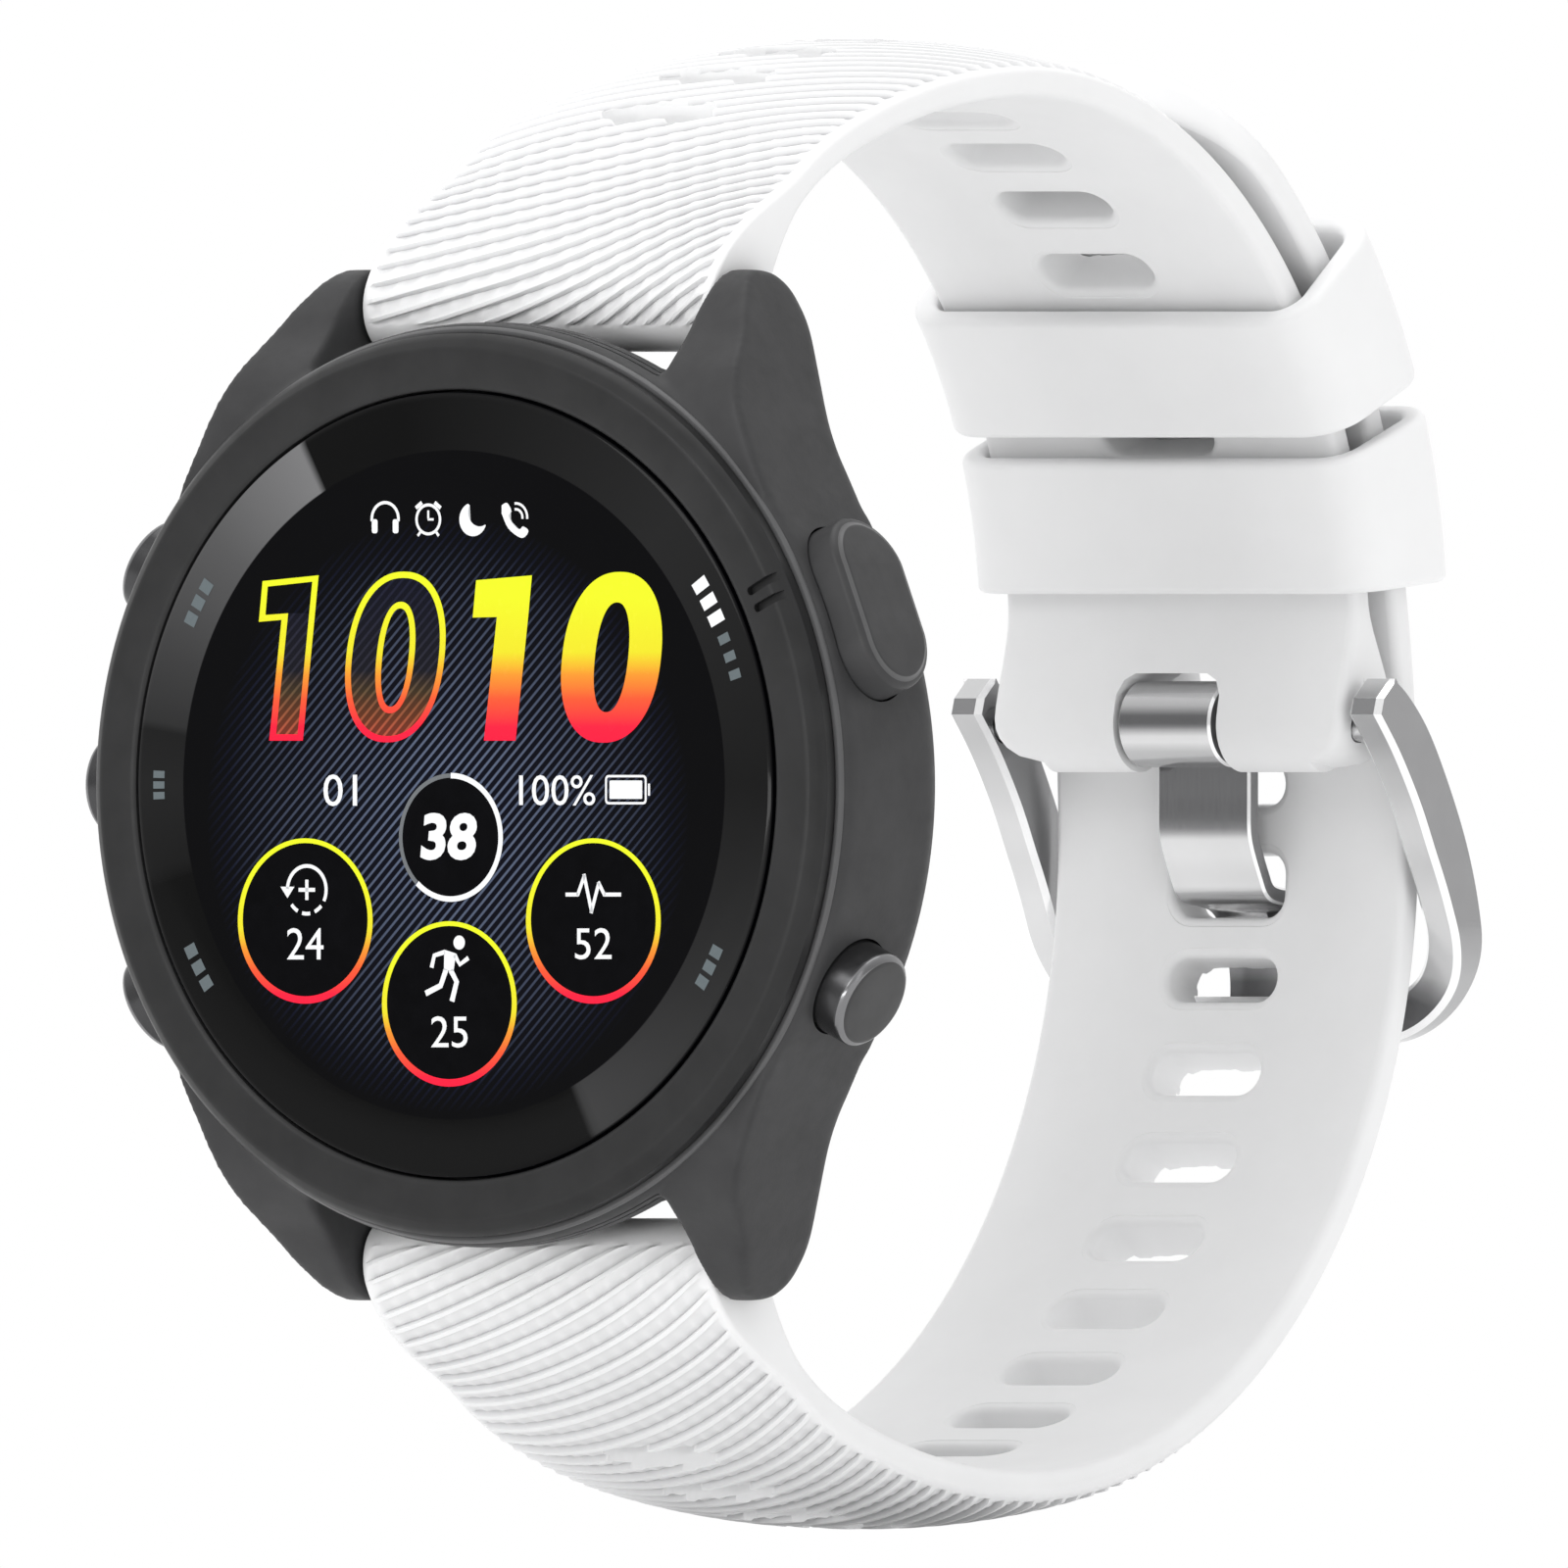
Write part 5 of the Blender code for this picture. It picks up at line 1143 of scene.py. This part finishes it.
class Graphic:
    """Collects flat shapes of the dial, in millimetres of X and Z, into one thin solid."""

    def __init__(self, name, mat, layer="top"):
        self.name, self.mat = name, mat
        self.d0, self.d1 = LAYER[layer]
        self.bm = bmesh.new()
        self.grad = self.bm.verts.layers.float.new("grad")

    def ring_of(self, outer, inner, grad=None):
        """Two matching loops of points: the area between them."""
        fn = grad or (lambda x, z: 1.0)
        rows = []
        for loop, d in ((outer, self.d0), (outer, self.d1), (inner, self.d1), (inner, self.d0)):
            row = []
            for x, z in loop:
                v = self.bm.verts.new((x * MM, wy(d) * MM, z * MM))
                v[self.grad] = fn(x, z)
                row.append(v)
            rows.append(row)
        n = len(outer)
        for a, b in zip(rows, rows[1:] + rows[:1]):
            for i in range(n):
                j = (i + 1) % n
                self.bm.faces.new((a[i], a[j], b[j], b[i]))

    def fill(self, loop, grad=None, cuts=0):
        """A filled outline."""
        fn = grad or (lambda x, z: 1.0)
        lo = [self.bm.verts.new((x * MM, wy(self.d0) * MM, z * MM)) for x, z in loop]
        hi = [self.bm.verts.new((x * MM, wy(self.d1) * MM, z * MM)) for x, z in loop]
        n = len(loop)
        for i in range(n):
            j = (i + 1) % n
            self.bm.faces.new((lo[i], lo[j], hi[j], hi[i]))
        caps = [self.bm.faces.new(lo[::-1]), self.bm.faces.new(hi)]
        out = bmesh.ops.triangulate(self.bm, faces=caps, ngon_method="EAR_CLIP")
        for v in lo + hi:
            v[self.grad] = fn(v.co.x / MM, v.co.z / MM)
        return out

    def stroke(self, line, width, closed=False, grad=None):
        """A line of even width with flat ends."""
        left, right = [], []
        n = len(line)
        for i, (x, z) in enumerate(line):
            if closed:
                a, b = line[i - 1], line[(i + 1) % n]
            else:
                a, b = line[max(i - 1, 0)], line[min(i + 1, n - 1)]
            dx, dz = b[0] - a[0], b[1] - a[1]
            k = math.hypot(dx, dz) or 1
            left.append((x - dz / k * width / 2, z + dx / k * width / 2))
            right.append((x + dz / k * width / 2, z - dx / k * width / 2))
        if closed:
            self.ring_of(left, right, grad)
            return
        fn = grad or (lambda x, z: 1.0)
        rows = []
        for (lx, lz), (rx, rz) in zip(left, right):
            row = []
            for x, z, d in ((lx, lz, self.d0), (lx, lz, self.d1), (rx, rz, self.d1), (rx, rz, self.d0)):
                v = self.bm.verts.new((x * MM, wy(d) * MM, z * MM))
                v[self.grad] = fn(x, z)
                row.append(v)
            rows.append(row)
        for a, b in zip(rows, rows[1:]):
            for i in range(4):
                j = (i + 1) % 4
                self.bm.faces.new((a[i], a[j], b[j], b[i]))
        self.bm.faces.new(rows[0][::-1])
        self.bm.faces.new(rows[-1])

    def disc(self, cx, cz, r, n=28):
        self.fill([(cx + r * math.cos(2 * math.pi * i / n), cz + r * math.sin(2 * math.pi * i / n)) for i in range(n)])

    def text(self, s, cx, cz, w, h, bold=0.0, shear=0.0):
        """Plain numerals fitted into a box."""
        cu = bpy.data.curves.new("t", "FONT")
        cu.body = s
        cu.size = 1.0
        cu.offset = bold
        cu.resolution_u = 4
        ob = bpy.data.objects.new("t", cu)
        bpy.context.scene.collection.objects.link(ob)
        deps = bpy.context.evaluated_depsgraph_get()
        deps.update()
        me = bpy.data.meshes.new_from_object(ob.evaluated_get(deps))
        bpy.data.objects.remove(ob, do_unlink=True)
        co = np.array([v.co[:2] for v in me.vertices])
        lo, hi = co.min(0), co.max(0)
        co = (co - (lo + hi) / 2) / (hi - lo) * np.array([w, h])
        co[:, 0] += co[:, 1] * shear
        tb = bmesh.new()
        tb.from_mesh(me)
        bpy.data.meshes.remove(me)
        bpy.data.curves.remove(cu)
        tb.verts.ensure_lookup_table()
        for v, p in zip(tb.verts, co):
            v.co = ((cx + p[0]) * MM, wy(self.d1) * MM, (cz + p[1]) * MM)
        bmesh.ops.remove_doubles(tb, verts=tb.verts, dist=0.0000005)
        bmesh.ops.recalc_face_normals(tb, faces=tb.faces)
        ext = bmesh.ops.extrude_face_region(tb, geom=list(tb.faces), use_keep_orig=True)
        for v in [g for g in ext["geom"] if isinstance(g, bmesh.types.BMVert)]:
            v.co.y = wy(self.d0) * MM
        bmesh.ops.recalc_face_normals(tb, faces=tb.faces)
        me = bpy.data.meshes.new("t")
        tb.to_mesh(me)
        tb.free()
        self.bm.from_mesh(me)
        bpy.data.meshes.remove(me)

    def done(self):
        ob = from_bm(self.name, self.bm, self.mat, 20)
        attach(ob, "watch")
        return ob


def px(cx, cy):
    """Dial position from the layout grid used for the digits (units of 1/3.409 of 0.05 mm)."""
    return ((240 + cx / 3.409 - 463) / 16.18, (801 - (480 + cy / 3.409)) / 20)


def oval(cx, cy, a, b, n=72, lean=-0.10, power=2.25):
    out = []
    for i in range(n):
        t = 2 * math.pi * i / n
        c, s = math.cos(t), math.sin(t)
        x = math.copysign(abs(c) ** (2 / power), c) * a
        y = math.copysign(abs(s) ** (2 / power), s) * b
        out.append(px(cx + x + lean * y, cy + y))
    return out


Z_TOP, Z_LOW = 10.95, 2.1
digit_grad = lambda x, z: clamp01((z - Z_LOW) / (Z_TOP - Z_LOW))


def grown(loop, k):
    """Loop with extra points along long edges, for a smooth colour run."""
    out = []
    for i, p in enumerate(loop):
        q = loop[(i + 1) % len(loop)]
        n = max(1, int(math.hypot(q[0] - p[0], q[1] - p[1]) / k))
        for j in range(n):
            f = j / n
            out.append((p[0] * (1 - f) + q[0] * f, p[1] * (1 - f) + q[1] * f))
    return out


def lerp(a, b, f):
    return (a[0] + (b[0] - a[0]) * f, a[1] + (b[1] - a[1]) * f)


def one_bars(ox):
    """Solid figure one as two matching sides, top to bottom, so the colour runs evenly."""
    flag = [px(ox + 12, 382), px(ox + 206, 365), px(ox + 193, 508), px(ox + 0, 512)]
    stem = [px(ox + 84, 510), px(ox + 193, 508), px(ox + 149, 940), px(ox + 39, 940)]
    return flag, stem


g = Graphic("dial_digits", SUNSET)
# outlined one
o1 = [(95, 385), (290, 365), (235, 940), (118, 940), (161, 520), (82, 527)]
i1 = [(113, 404), (268, 387), (217, 918), (142, 918), (184, 497), (105, 503)]


def paired(outer, inner, k=14):
    a, b = [], []
    for i in range(len(outer)):
        j = (i + 1) % len(outer)
        n = max(1, int(math.hypot(outer[j][0] - outer[i][0], outer[j][1] - outer[i][1]) / k))
        for m_ in range(n):
            a.append(px(*lerp(outer[i], outer[j], m_ / n)))
            b.append(px(*lerp(inner[i], inner[j], m_ / n)))
    return a, b


g.ring_of(*paired(o1, i1), digit_grad)
g.ring_of(oval(557, 649, 171, 297), oval(557, 649, 151, 275), digit_grad)
g.ring_of(oval(557, 651, 66, 194), oval(557, 651, 46, 171), digit_grad)
# solid zero and one
g.ring_of(oval(1309, 650, 172, 297, 96), oval(1309, 650, 58, 191, 96), digit_grad)


def slab(corners, rows=28):
    """Quad from top edge to bottom edge, cut in rows."""
    tl, tr, br, bl = corners
    left = [lerp(tl, bl, i / rows) for i in range(rows + 1)]
    right = [lerp(tr, br, i / rows) for i in range(rows + 1)]
    bm_ = g.bm
    grid = {}
    for lay, d in enumerate((g.d0, g.d1)):
        for i in range(rows + 1):
            for sde, p in enumerate((left[i], right[i])):
                v = bm_.verts.new((p[0] * MM, wy(d) * MM, p[1] * MM))
                v[g.grad] = digit_grad(*p)
                grid[lay, i, sde] = v
    for i in range(rows):
        bm_.faces.new((grid[1, i, 0], grid[1, i, 1], grid[1, i + 1, 1], grid[1, i + 1, 0]))
        bm_.faces.new((grid[0, i, 0], grid[0, i + 1, 0], grid[0, i + 1, 1], grid[0, i, 1]))
        bm_.faces.new((grid[0, i, 0], grid[1, i, 0], grid[1, i + 1, 0], grid[0, i + 1, 0]))
        bm_.faces.new((grid[0, i, 1], grid[0, i + 1, 1], grid[1, i + 1, 1], grid[1, i, 1]))
    bm_.faces.new((grid[0, 0, 0], grid[0, 0, 1], grid[1, 0, 1], grid[1, 0, 0]))
    bm_.faces.new((grid[0, rows, 0], grid[1, rows, 0], grid[1, rows, 1], grid[0, rows, 1]))


for corners in one_bars(826):
    slab(corners)
# gradient rings
RINGS = {"left": (-9.37, -6.94), "right": (8.80, -6.94), "bottom": (-0.28, -11.17)}
for cx, cz in RINGS.values():
    n = 96
    outer = [(cx + 4.25 * math.cos(2 * math.pi * i / n), cz + 4.22 * math.sin(2 * math.pi * i / n)) for i in range(n)]
    inner = [(cx + 3.94 * math.cos(2 * math.pi * i / n), cz + 0.07 + 3.91 * math.sin(2 * math.pi * i / n)) for i in range(n)]
    g.ring_of(outer, inner, lambda x, z, cz=cz: clamp01(0.04 + (z - cz + 4.2) / 8.4 * 1.08))
g.done()

g = Graphic("dial_dusk_fill", DUSK, "low")
g.ring_of(oval(557, 649, 152, 276), oval(557, 651, 64, 192), digit_grad)
inner = [px(*p) for p in ((113, 404), (268, 387), (217, 918), (142, 918), (184, 497), (105, 503))]
tl, tr = px(190, 396), px(267, 388)
for i in range(24):
    a0, a1 = i / 24, (i + 1) / 24
    p = [lerp(px(184, 497), px(142, 918), a0), lerp(px(257, 497), px(217, 918), a0),
         lerp(px(257, 497), px(217, 918), a1), lerp(px(184, 497), px(142, 918), a1)]
    g.fill(p, digit_grad)
g.done()

g = Graphic("dial_ring_fields", BLACK, "low")
for cx, cz in RINGS.values():
    g.disc(cx, cz, 4.1, 72)
g.disc(-0.2, -2.67, 3.1, 72)
g.done()


def arc_pts(cx, cz, r, a0, a1, n):
    return [(cx + r * math.cos(math.radians(a0 + (a1 - a0) * i / n)),
             cz + r * math.sin(math.radians(a0 + (a1 - a0) * i / n))) for i in range(n + 1)]


w = Graphic("dial_white_marks", WHITE)
w.stroke(arc_pts(-0.2, -2.67, 3.15, 90, -132, 80), 0.28)
w.text("01", -7.16, -0.27, 2.12, 1.62)
w.text("100%", 6.52, -0.27, 4.8, 1.55)
w.text("38", -0.28, -2.63, 3.45, 2.42, 0.035, 0.10)
w.text("24", RINGS["left"][0], -8.1, 2.3, 1.6)
w.text("52", RINGS["right"][0], -8.1, 2.3, 1.6)
w.text("25", RINGS["bottom"][0], -12.6, 2.3, 1.6)
# battery
bx, bz = 10.85, -0.24
w.ring_of(grown(rounded_rect(2.62, 1.5, 0.22, 4, bx, bz), 9), grown(rounded_rect(2.38, 1.26, 0.12, 4, bx, bz), 9))
w.fill(rounded_rect(2.06, 0.94, 0.06, 3, bx, bz))
w.fill(rounded_rect(0.13, 0.62, 0.04, 3, bx + 1.46, bz))
# round arrow with a plus
cx, cz = RINGS["left"][0] + 0.1, -5.35
w.stroke(arc_pts(cx, cz, 1.22, -28, 178, 30), 0.19)
for a0 in (-142, -104, -66):
    w.stroke(arc_pts(cx, cz, 1.22, a0, a0 + 24, 5), 0.19)
w.fill([(cx - 1.66, cz + 0.16), (cx - 0.78, cz + 0.16), (cx - 1.22, cz - 0.42)])
w.stroke([(cx - 0.52, cz), (cx + 0.52, cz)], 0.2)
w.fill(rounded_rect(0.2, 1.04, 0.02, 1, cx, cz))
# pulse line
cx, cz = RINGS["right"]
w.stroke([(cx - 1.75, cz + 1.35), (cx - 0.95, cz + 1.35)], 0.2)
w.stroke([(cx - 1.0, cz + 1.3), (cx - 0.55, cz + 2.35)], 0.2)
w.stroke([(cx - 0.6, cz + 2.4), (cx - 0.1, cz + 0.45)], 0.2)
w.stroke([(cx - 0.15, cz + 0.4), (cx + 0.35, cz + 1.95)], 0.2)
w.stroke([(cx + 0.3, cz + 2.0), (cx + 0.72, cz + 1.3)], 0.2)
w.stroke([(cx + 0.68, cz + 1.35), (cx + 1.75, cz + 1.35)], 0.2)
# figure in stride
cx, cz = RINGS["bottom"][0], RINGS["bottom"][1] + 1.75
w.disc(cx + 0.62, cz + 1.38, 0.36)
w.fill([(cx - 0.32, cz + 1.02), (cx + 0.42, cz + 0.82), (cx + 0.26, cz - 0.08), (cx - 0.34, cz - 0.02)])
w.stroke([(cx - 0.28, cz + 0.9), (cx - 0.95, cz + 0.72), (cx - 1.12, cz + 0.1)], 0.24)
w.stroke([(cx + 0.34, cz + 0.74), (cx + 0.66, cz + 0.26), (cx + 1.2, cz + 0.6)], 0.24)
w.stroke([(cx + 0.08, cz - 0.02), (cx + 0.46, cz - 0.62), (cx + 0.16, cz - 1.62)], 0.3)
w.stroke([(cx - 0.2, cz + 0.02), (cx - 0.55, cz - 0.82), (cx - 1.5, cz - 1.22)], 0.3)
# status row
cx, cz = -4.33, 13.62
w.stroke(arc_pts(cx, cz - 0.05, 0.84, -8, 188, 28), 0.16)
for s in (-1, 1):
    w.fill(rounded_rect(0.36, 0.72, 0.12, 3, cx + s * 0.66, cz - 0.42))
cx, cz = -1.61, 13.55
w.stroke(arc_pts(cx, cz, 0.74, 0, 352.5, 48)[:-1] + [(cx + 0.74 * math.cos(math.radians(352.5)), cz + 0.74 * math.sin(math.radians(352.5)))],
         0.15, True)
w.stroke([(cx, cz + 0.02), (cx, cz + 0.46)], 0.12)
w.stroke([(cx - 0.03, cz), (cx + 0.34, cz)], 0.12)
for s in (-1, 1):
    w.stroke([(cx + s * 0.40, cz + 0.86), (cx + s * 0.78, cz + 0.58)], 0.2)
    w.stroke([(cx + s * 0.48, cz - 0.62), (cx + s * 0.66, cz - 0.84)], 0.14)
cx, cz = 1.11, 13.55
moon = arc_pts(cx + 0.1, cz, 0.86, 112, 338, 30) + arc_pts(cx + 0.52, cz + 0.36, 0.72, 300, 150, 20)
w.fill(moon)
cx, cz = 3.86, 13.55
w.fill(smooth_line([(cx - 0.84, cz + 0.72), (cx - 0.5, cz + 0.84), (cx - 0.22, cz + 0.42), (cx - 0.4, cz + 0.18), (cx - 0.06, cz - 0.3),
                    (cx + 0.3, cz - 0.5), (cx + 0.5, cz - 0.36), (cx + 0.84, cz - 0.56), (cx + 0.66, cz - 0.86),
                    (cx + 0.3, cz - 0.92), (cx - 0.42, cz - 0.46), (cx - 0.84, cz + 0.3)], 4))
w.stroke(arc_pts(cx + 0.05, cz + 0.1, 0.42, -10, 100, 10), 0.13)
w.stroke(arc_pts(cx + 0.05, cz + 0.1, 0.72, -6, 96, 12), 0.13)
w.done()

w = Graphic("dial_grey_marks", GREY)
w.stroke(arc_pts(-0.2, -2.67, 3.15, 91, 227, 50), 0.22)
w.done()


def ring_mark(gr, a0, a1, r=18.55, t=0.42):
    gr.stroke(arc_pts(0, 0, r, a0, a1, 14), t)


w = Graphic("ring_marks_white", WHITE)
for k in range(3):
    a = 34.2 - k * 3.0
    ring_mark(w, a, a - 1.9, 18.6, 0.95)
w.done()
w = Graphic("ring_marks_grey", LABEL)
for k in range(3):
    a = 24.4 - k * 3.0
    ring_mark(w, a, a - 1.5, 18.6, 0.7)
for mid, span in ((150, 7.0), (180, 4.0), (210, 7.0), (-30, 6.5)):
    for k in range(3):
        a = mid + (k - 1) * span / 2.4
        ring_mark(w, a - span / 7, a + span / 7, 18.6, 0.7)
w.done()

# ------------------------------------------------------------------- buttons
for tag, ang in ROUND_BUTTONS.items():
    ob = turned(tag + "_key_cap", [(0, 0.0), (1.2, -0.004), (2.08, -0.015), (2.2, -0.035), (2.3, -0.08), (2.44, -0.17), (2.54, -0.28),
                                   (2.59, -0.42), (2.6, -0.55), (2.6, -2.42), (2.52, -2.5), (0.85, -2.5), (0.85, -4.95),
                                   (0.58, -4.95), (0.58, -5.4), (0.85, -5.4), (0.85, -5.55), (0.8, -5.6), (0, -5.6)],
                radial(ang, BUTTON_FACE_R), KEYMETAL, 72, True, 22)
    # the chamfer ring takes the lighter metal, a painted highlight; the face takes its own darker finish
    ob.data.materials.append(KEY_RIM_HIGHLIGHT.m)
    ob.data.materials.append(KEYFACE.m)
    back_ = radial(ang, BUTTON_FACE_R).inverted()
    for f in ob.data.polygons:
        c = back_ @ f.center
        r_ = math.hypot(c.x, c.y) / MM
        f.material_index = 2 if (c.z > -0.00006 and r_ < 2.25) else 1 if (c.z > -0.0004 and r_ >= 2.25) else 0
    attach(ob, tag + "_key")
    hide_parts(tag + "_button")

levels = [(0.0, 22.7 - BUTTON_FACE_R), (0.0, -0.46), (0.03, -0.34), (0.09, -0.25), (0.17, -0.19), (0.30, -0.15), (0.36, -0.135),
          (0.42, -0.11), (0.52, -0.03), (0.58, -0.005), (0.66, 0.0), (1.2, 0.0), (1.9, 0.0), (2.6, 0.0)]
bm = bmesh.new()
rows = []
for grow, lv in levels:
    row = []
    for x, y in rounded_rect(CAP_L - 2 * grow, CAP_W - 2 * grow, CAP_W / 2 - 0.01 - grow, 18, CAP_X):
        top = math.sqrt(BUTTON_FACE_R ** 2 - x * x) - BUTTON_FACE_R if lv > -1 else 0
        row.append(bm.verts.new((x * MM, y * MM, (lv + top) * MM)))
    rows.append(row)
n = len(rows[0])
for r0, r1 in zip(rows, rows[1:]):
    for i in range(n):
        j = (i + 1) % n
        bm.faces.new((r0[i], r0[j], r1[j], r1[i]))
bm.faces.new(rows[0][::-1])
bm.faces.new(rows[-1])
bmesh.ops.transform(bm, matrix=sp, verts=bm.verts)
cap = from_bm("start_key_cap", bm, KEY, 24)
stem = turned("stem", [(0, -2.0), (0.85, -2.0), (0.85, -4.95), (0.58, -4.95), (0.58, -5.4), (0.85, -5.4), (0.85, -5.6), (0, -5.6)],
              sp, KEY, 32)
boolean(cap, stem, "UNION")
cap.data.materials.clear()
cap.data.materials.append(KEY.m)
cap.data.materials.append(KEY_EDGE_HIGHLIGHT.m)
back_ = sp.inverted()
# a ring of the chamfer takes the lighter key material, a painted highlight line
for f in cap.data.polygons:
    c = back_ @ f.center
    x_, y_ = c.x / MM, c.y / MM
    over = max(abs(x_ - CAP_X) - (CAP_L - CAP_W) / 2, 0)
    inset = CAP_W / 2 - math.hypot(over, y_)
    f.material_index = 1 if c.z > -0.0015 and 0.31 < inset < 0.53 else 0
shade(cap, 24)
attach(cap, "start_key")
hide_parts("start_button")

# ----------------------------------------------------------------- back side
back = turned("back_cover_moulded", cased([(8.0, 9.45), (20.2, 9.45), (20.3, 9.55), (20.3, 10.5), (20.2, 10.6), (16.0, 10.66), (15.2, 10.74),
                                           (14.7, 11.1), (14.2, 11.85), (13.9, 12.25), (13.55, 12.45), (13.1, 12.53), (10.4, 12.55),
                                           (10.3, 12.45), (10.3, 11.7), (8.0, 11.7)]), FRONT, CASE, 192)
for i, ang in enumerate((45, 135, 225, 315)):
    r = math.radians(ang)
    pl = frame_at((18.2 * math.cos(r), 0, 18.2 * math.sin(r)), (0, 1, 0), (1, 0, 0))
    boolean(back, turned("hole", [(0, -1), (1.4, -1), (1.4, -2.95), (0.8, -2.95), (0.8, -4.5), (0, -4.5)], pl, CASE, 32))
    scr = turned("back_screw_%d_turned" % (i + 1), [(0, -2.35), (0.85, -2.35), (1.0, -2.42), (1.05, -2.52), (1.05, -2.8), (0.5, -2.8),
                                                     (0.5, -6.6), (0, -6.9)], pl, STEELSAT, 40)
    star = []
    for k in range(24):
        a = 2 * math.pi * k / 24
        star.append(((0.42 + 0.09 * math.cos(6 * a)) * math.cos(a), (0.42 + 0.09 * math.cos(6 * a)) * math.sin(a)))
    boolean(scr, prism("drive", star, -2.62, -2.0, pl))
    scr.data.materials.clear()
    scr.data.materials.append(STEELSAT.m)
    shade(scr, 30)
    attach(scr, "watch")
    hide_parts("back_screw_%d" % (i + 1))
boolean(back, prism("port", rounded_rect(7.2, 3.0, 0.3, 4), -1.5, 1.5, frame_at((0, wy(10.0), -17.4), (0, 1, 0), (1, 0, 0))))
back.data.materials.clear()
back.data.materials.append(CASE.m)
shade(back, 30)
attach(back, "watch")
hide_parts("back_cover")
sw = turned("sensor_window_glass", cased([(0, 11.9), (10.0, 11.9), (10.0, 12.7), (9.93, 12.82), (9.8, 12.9), (0, 12.9)]), FRONT, SENSOR, 160)
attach(sw, "watch")
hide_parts("sensor_window")

# ------------------------------------------------------ CAD pieces that stay
KEEP = {"seal": RUBBER, "gasket": RUBBER, "clip": STEELSAT, "switch": CERAMIC, "board": BOARD, "battery": CELL,
        "motor": STEELSAT, "buzzer": BRASS, "antenna": CERAMIC, "pin": STEELSAT, "tube": STEELSAT, "spring": STEELSAT,
        "bracket": STEELSAT, "panel": BLACK, "port": RUBBER, "screw": STEELSAT, "bar": STEEL}
for name, ob in NODES.items():
    if ob.hide_render:
        continue
    for key, mat in KEEP.items():
        if key in name:
            ob.data.materials.clear()
            ob.data.materials.append(mat.m)
            break

# --------------------------------------------------------- stage and lighting
A = math.radians(36)
RIGHT = Vector((math.cos(A), math.sin(A), 0))
AHEAD = Vector((-math.sin(A), math.cos(A), 0))
UP = Vector((0, 0, 1))
CENTRE = Vector((0, 28.66 - WATCH_T, 0.05)) * MM

bm = bmesh.new()
bmesh.ops.create_circle(bm, cap_ends=True, segments=96, radius=1.6)
bmesh.ops.translate(bm, vec=(0, 0, cad_lo.z - 0.0003), verts=bm.verts)
FLOOR = Mat("floor_pale", (0.86, 0.86, 0.86), 0.8).vary(12, 0.01)
FLOOR.b.inputs["Emission Color"].default_value = (1, 1, 1, 1)
FLOOR.b.inputs["Emission Strength"].default_value = 0.15
floor = from_bm("floor", bm, FLOOR)

world = bpy.data.worlds.new("studio")
bpy.context.scene.world = world
world.use_nodes = True
wt = world.node_tree
bg = wt.nodes["Background"]
tc = wt.nodes.new("ShaderNodeTexCoord")
dot = wt.nodes.new("ShaderNodeVectorMath")
dot.operation = "DOT_PRODUCT"
dot.inputs[1].default_value = AHEAD
wt.links.new(tc.outputs["Generated"], dot.inputs[0])
mr = wt.nodes.new("ShaderNodeMapRange")
mr.interpolation_type = "SMOOTHSTEP"
mr.inputs["From Min"].default_value = -0.35
mr.inputs["From Max"].default_value = 0.75
mr.inputs["To Min"].default_value = 0.62
mr.inputs["To Max"].default_value = 1.0
wt.links.new(dot.outputs["Value"], mr.inputs["Value"])
sepw = wt.nodes.new("ShaderNodeSeparateXYZ")
wt.links.new(tc.outputs["Generated"], sepw.inputs[0])
mz = wt.nodes.new("ShaderNodeMapRange")
mz.interpolation_type = "SMOOTHSTEP"
mz.inputs["From Min"].default_value = 0.05
mz.inputs["From Max"].default_value = 0.85
mz.inputs["To Min"].default_value = 0.0
mz.inputs["To Max"].default_value = 0.45
wt.links.new(sepw.outputs["Z"], mz.inputs["Value"])
add = wt.nodes.new("ShaderNodeMath")
add.operation = "ADD"
add.use_clamp = True
wt.links.new(mr.outputs["Result"], add.inputs[0])
wt.links.new(mz.outputs["Result"], add.inputs[1])
wt.links.new(add.outputs[0], bg.inputs["Color"])
bg.inputs["Strength"].default_value = 1.0


def area(name, right, up, ahead, size, power, size_y=None):
    la = bpy.data.lights.new(name, "AREA")
    la.shape = "RECTANGLE"
    la.size = size
    la.size_y = size_y or size
    la.energy = power
    ob = bpy.data.objects.new(name, la)
    bpy.context.scene.collection.objects.link(ob)
    ob.location = CENTRE + RIGHT * right + UP * up + AHEAD * ahead
    ob.rotation_mode = "QUATERNION"
    ob.rotation_quaternion = (CENTRE - ob.location).to_track_quat("-Z", "Y")
    return ob


area("key", -0.30, 0.26, -0.36, 0.22, 0.58)
area("top", 0.02, 0.50, 0.04, 0.36, 0.6)
area("inside", 0.30, -0.02, -0.40, 0.10, 0.10, 0.3)
area("low", -0.22, -0.012, -0.40, 0.26, 0.30, 0.04)

cam = bpy.data.cameras.new("camera")
cam.type = "ORTHO"
cam.ortho_scale = 0.080
cam.clip_start = 0.01
cam.clip_end = 5
co = bpy.data.objects.new("camera", cam)
bpy.context.scene.collection.objects.link(co)
co.location = CENTRE - AHEAD * 0.35
co.rotation_mode = "QUATERNION"
co.rotation_quaternion = AHEAD.to_track_quat("-Z", "Y")
bpy.context.scene.camera = co
bpy.context.scene.view_settings.view_transform = "Standard"
bpy.context.scene.view_settings.look = "None"
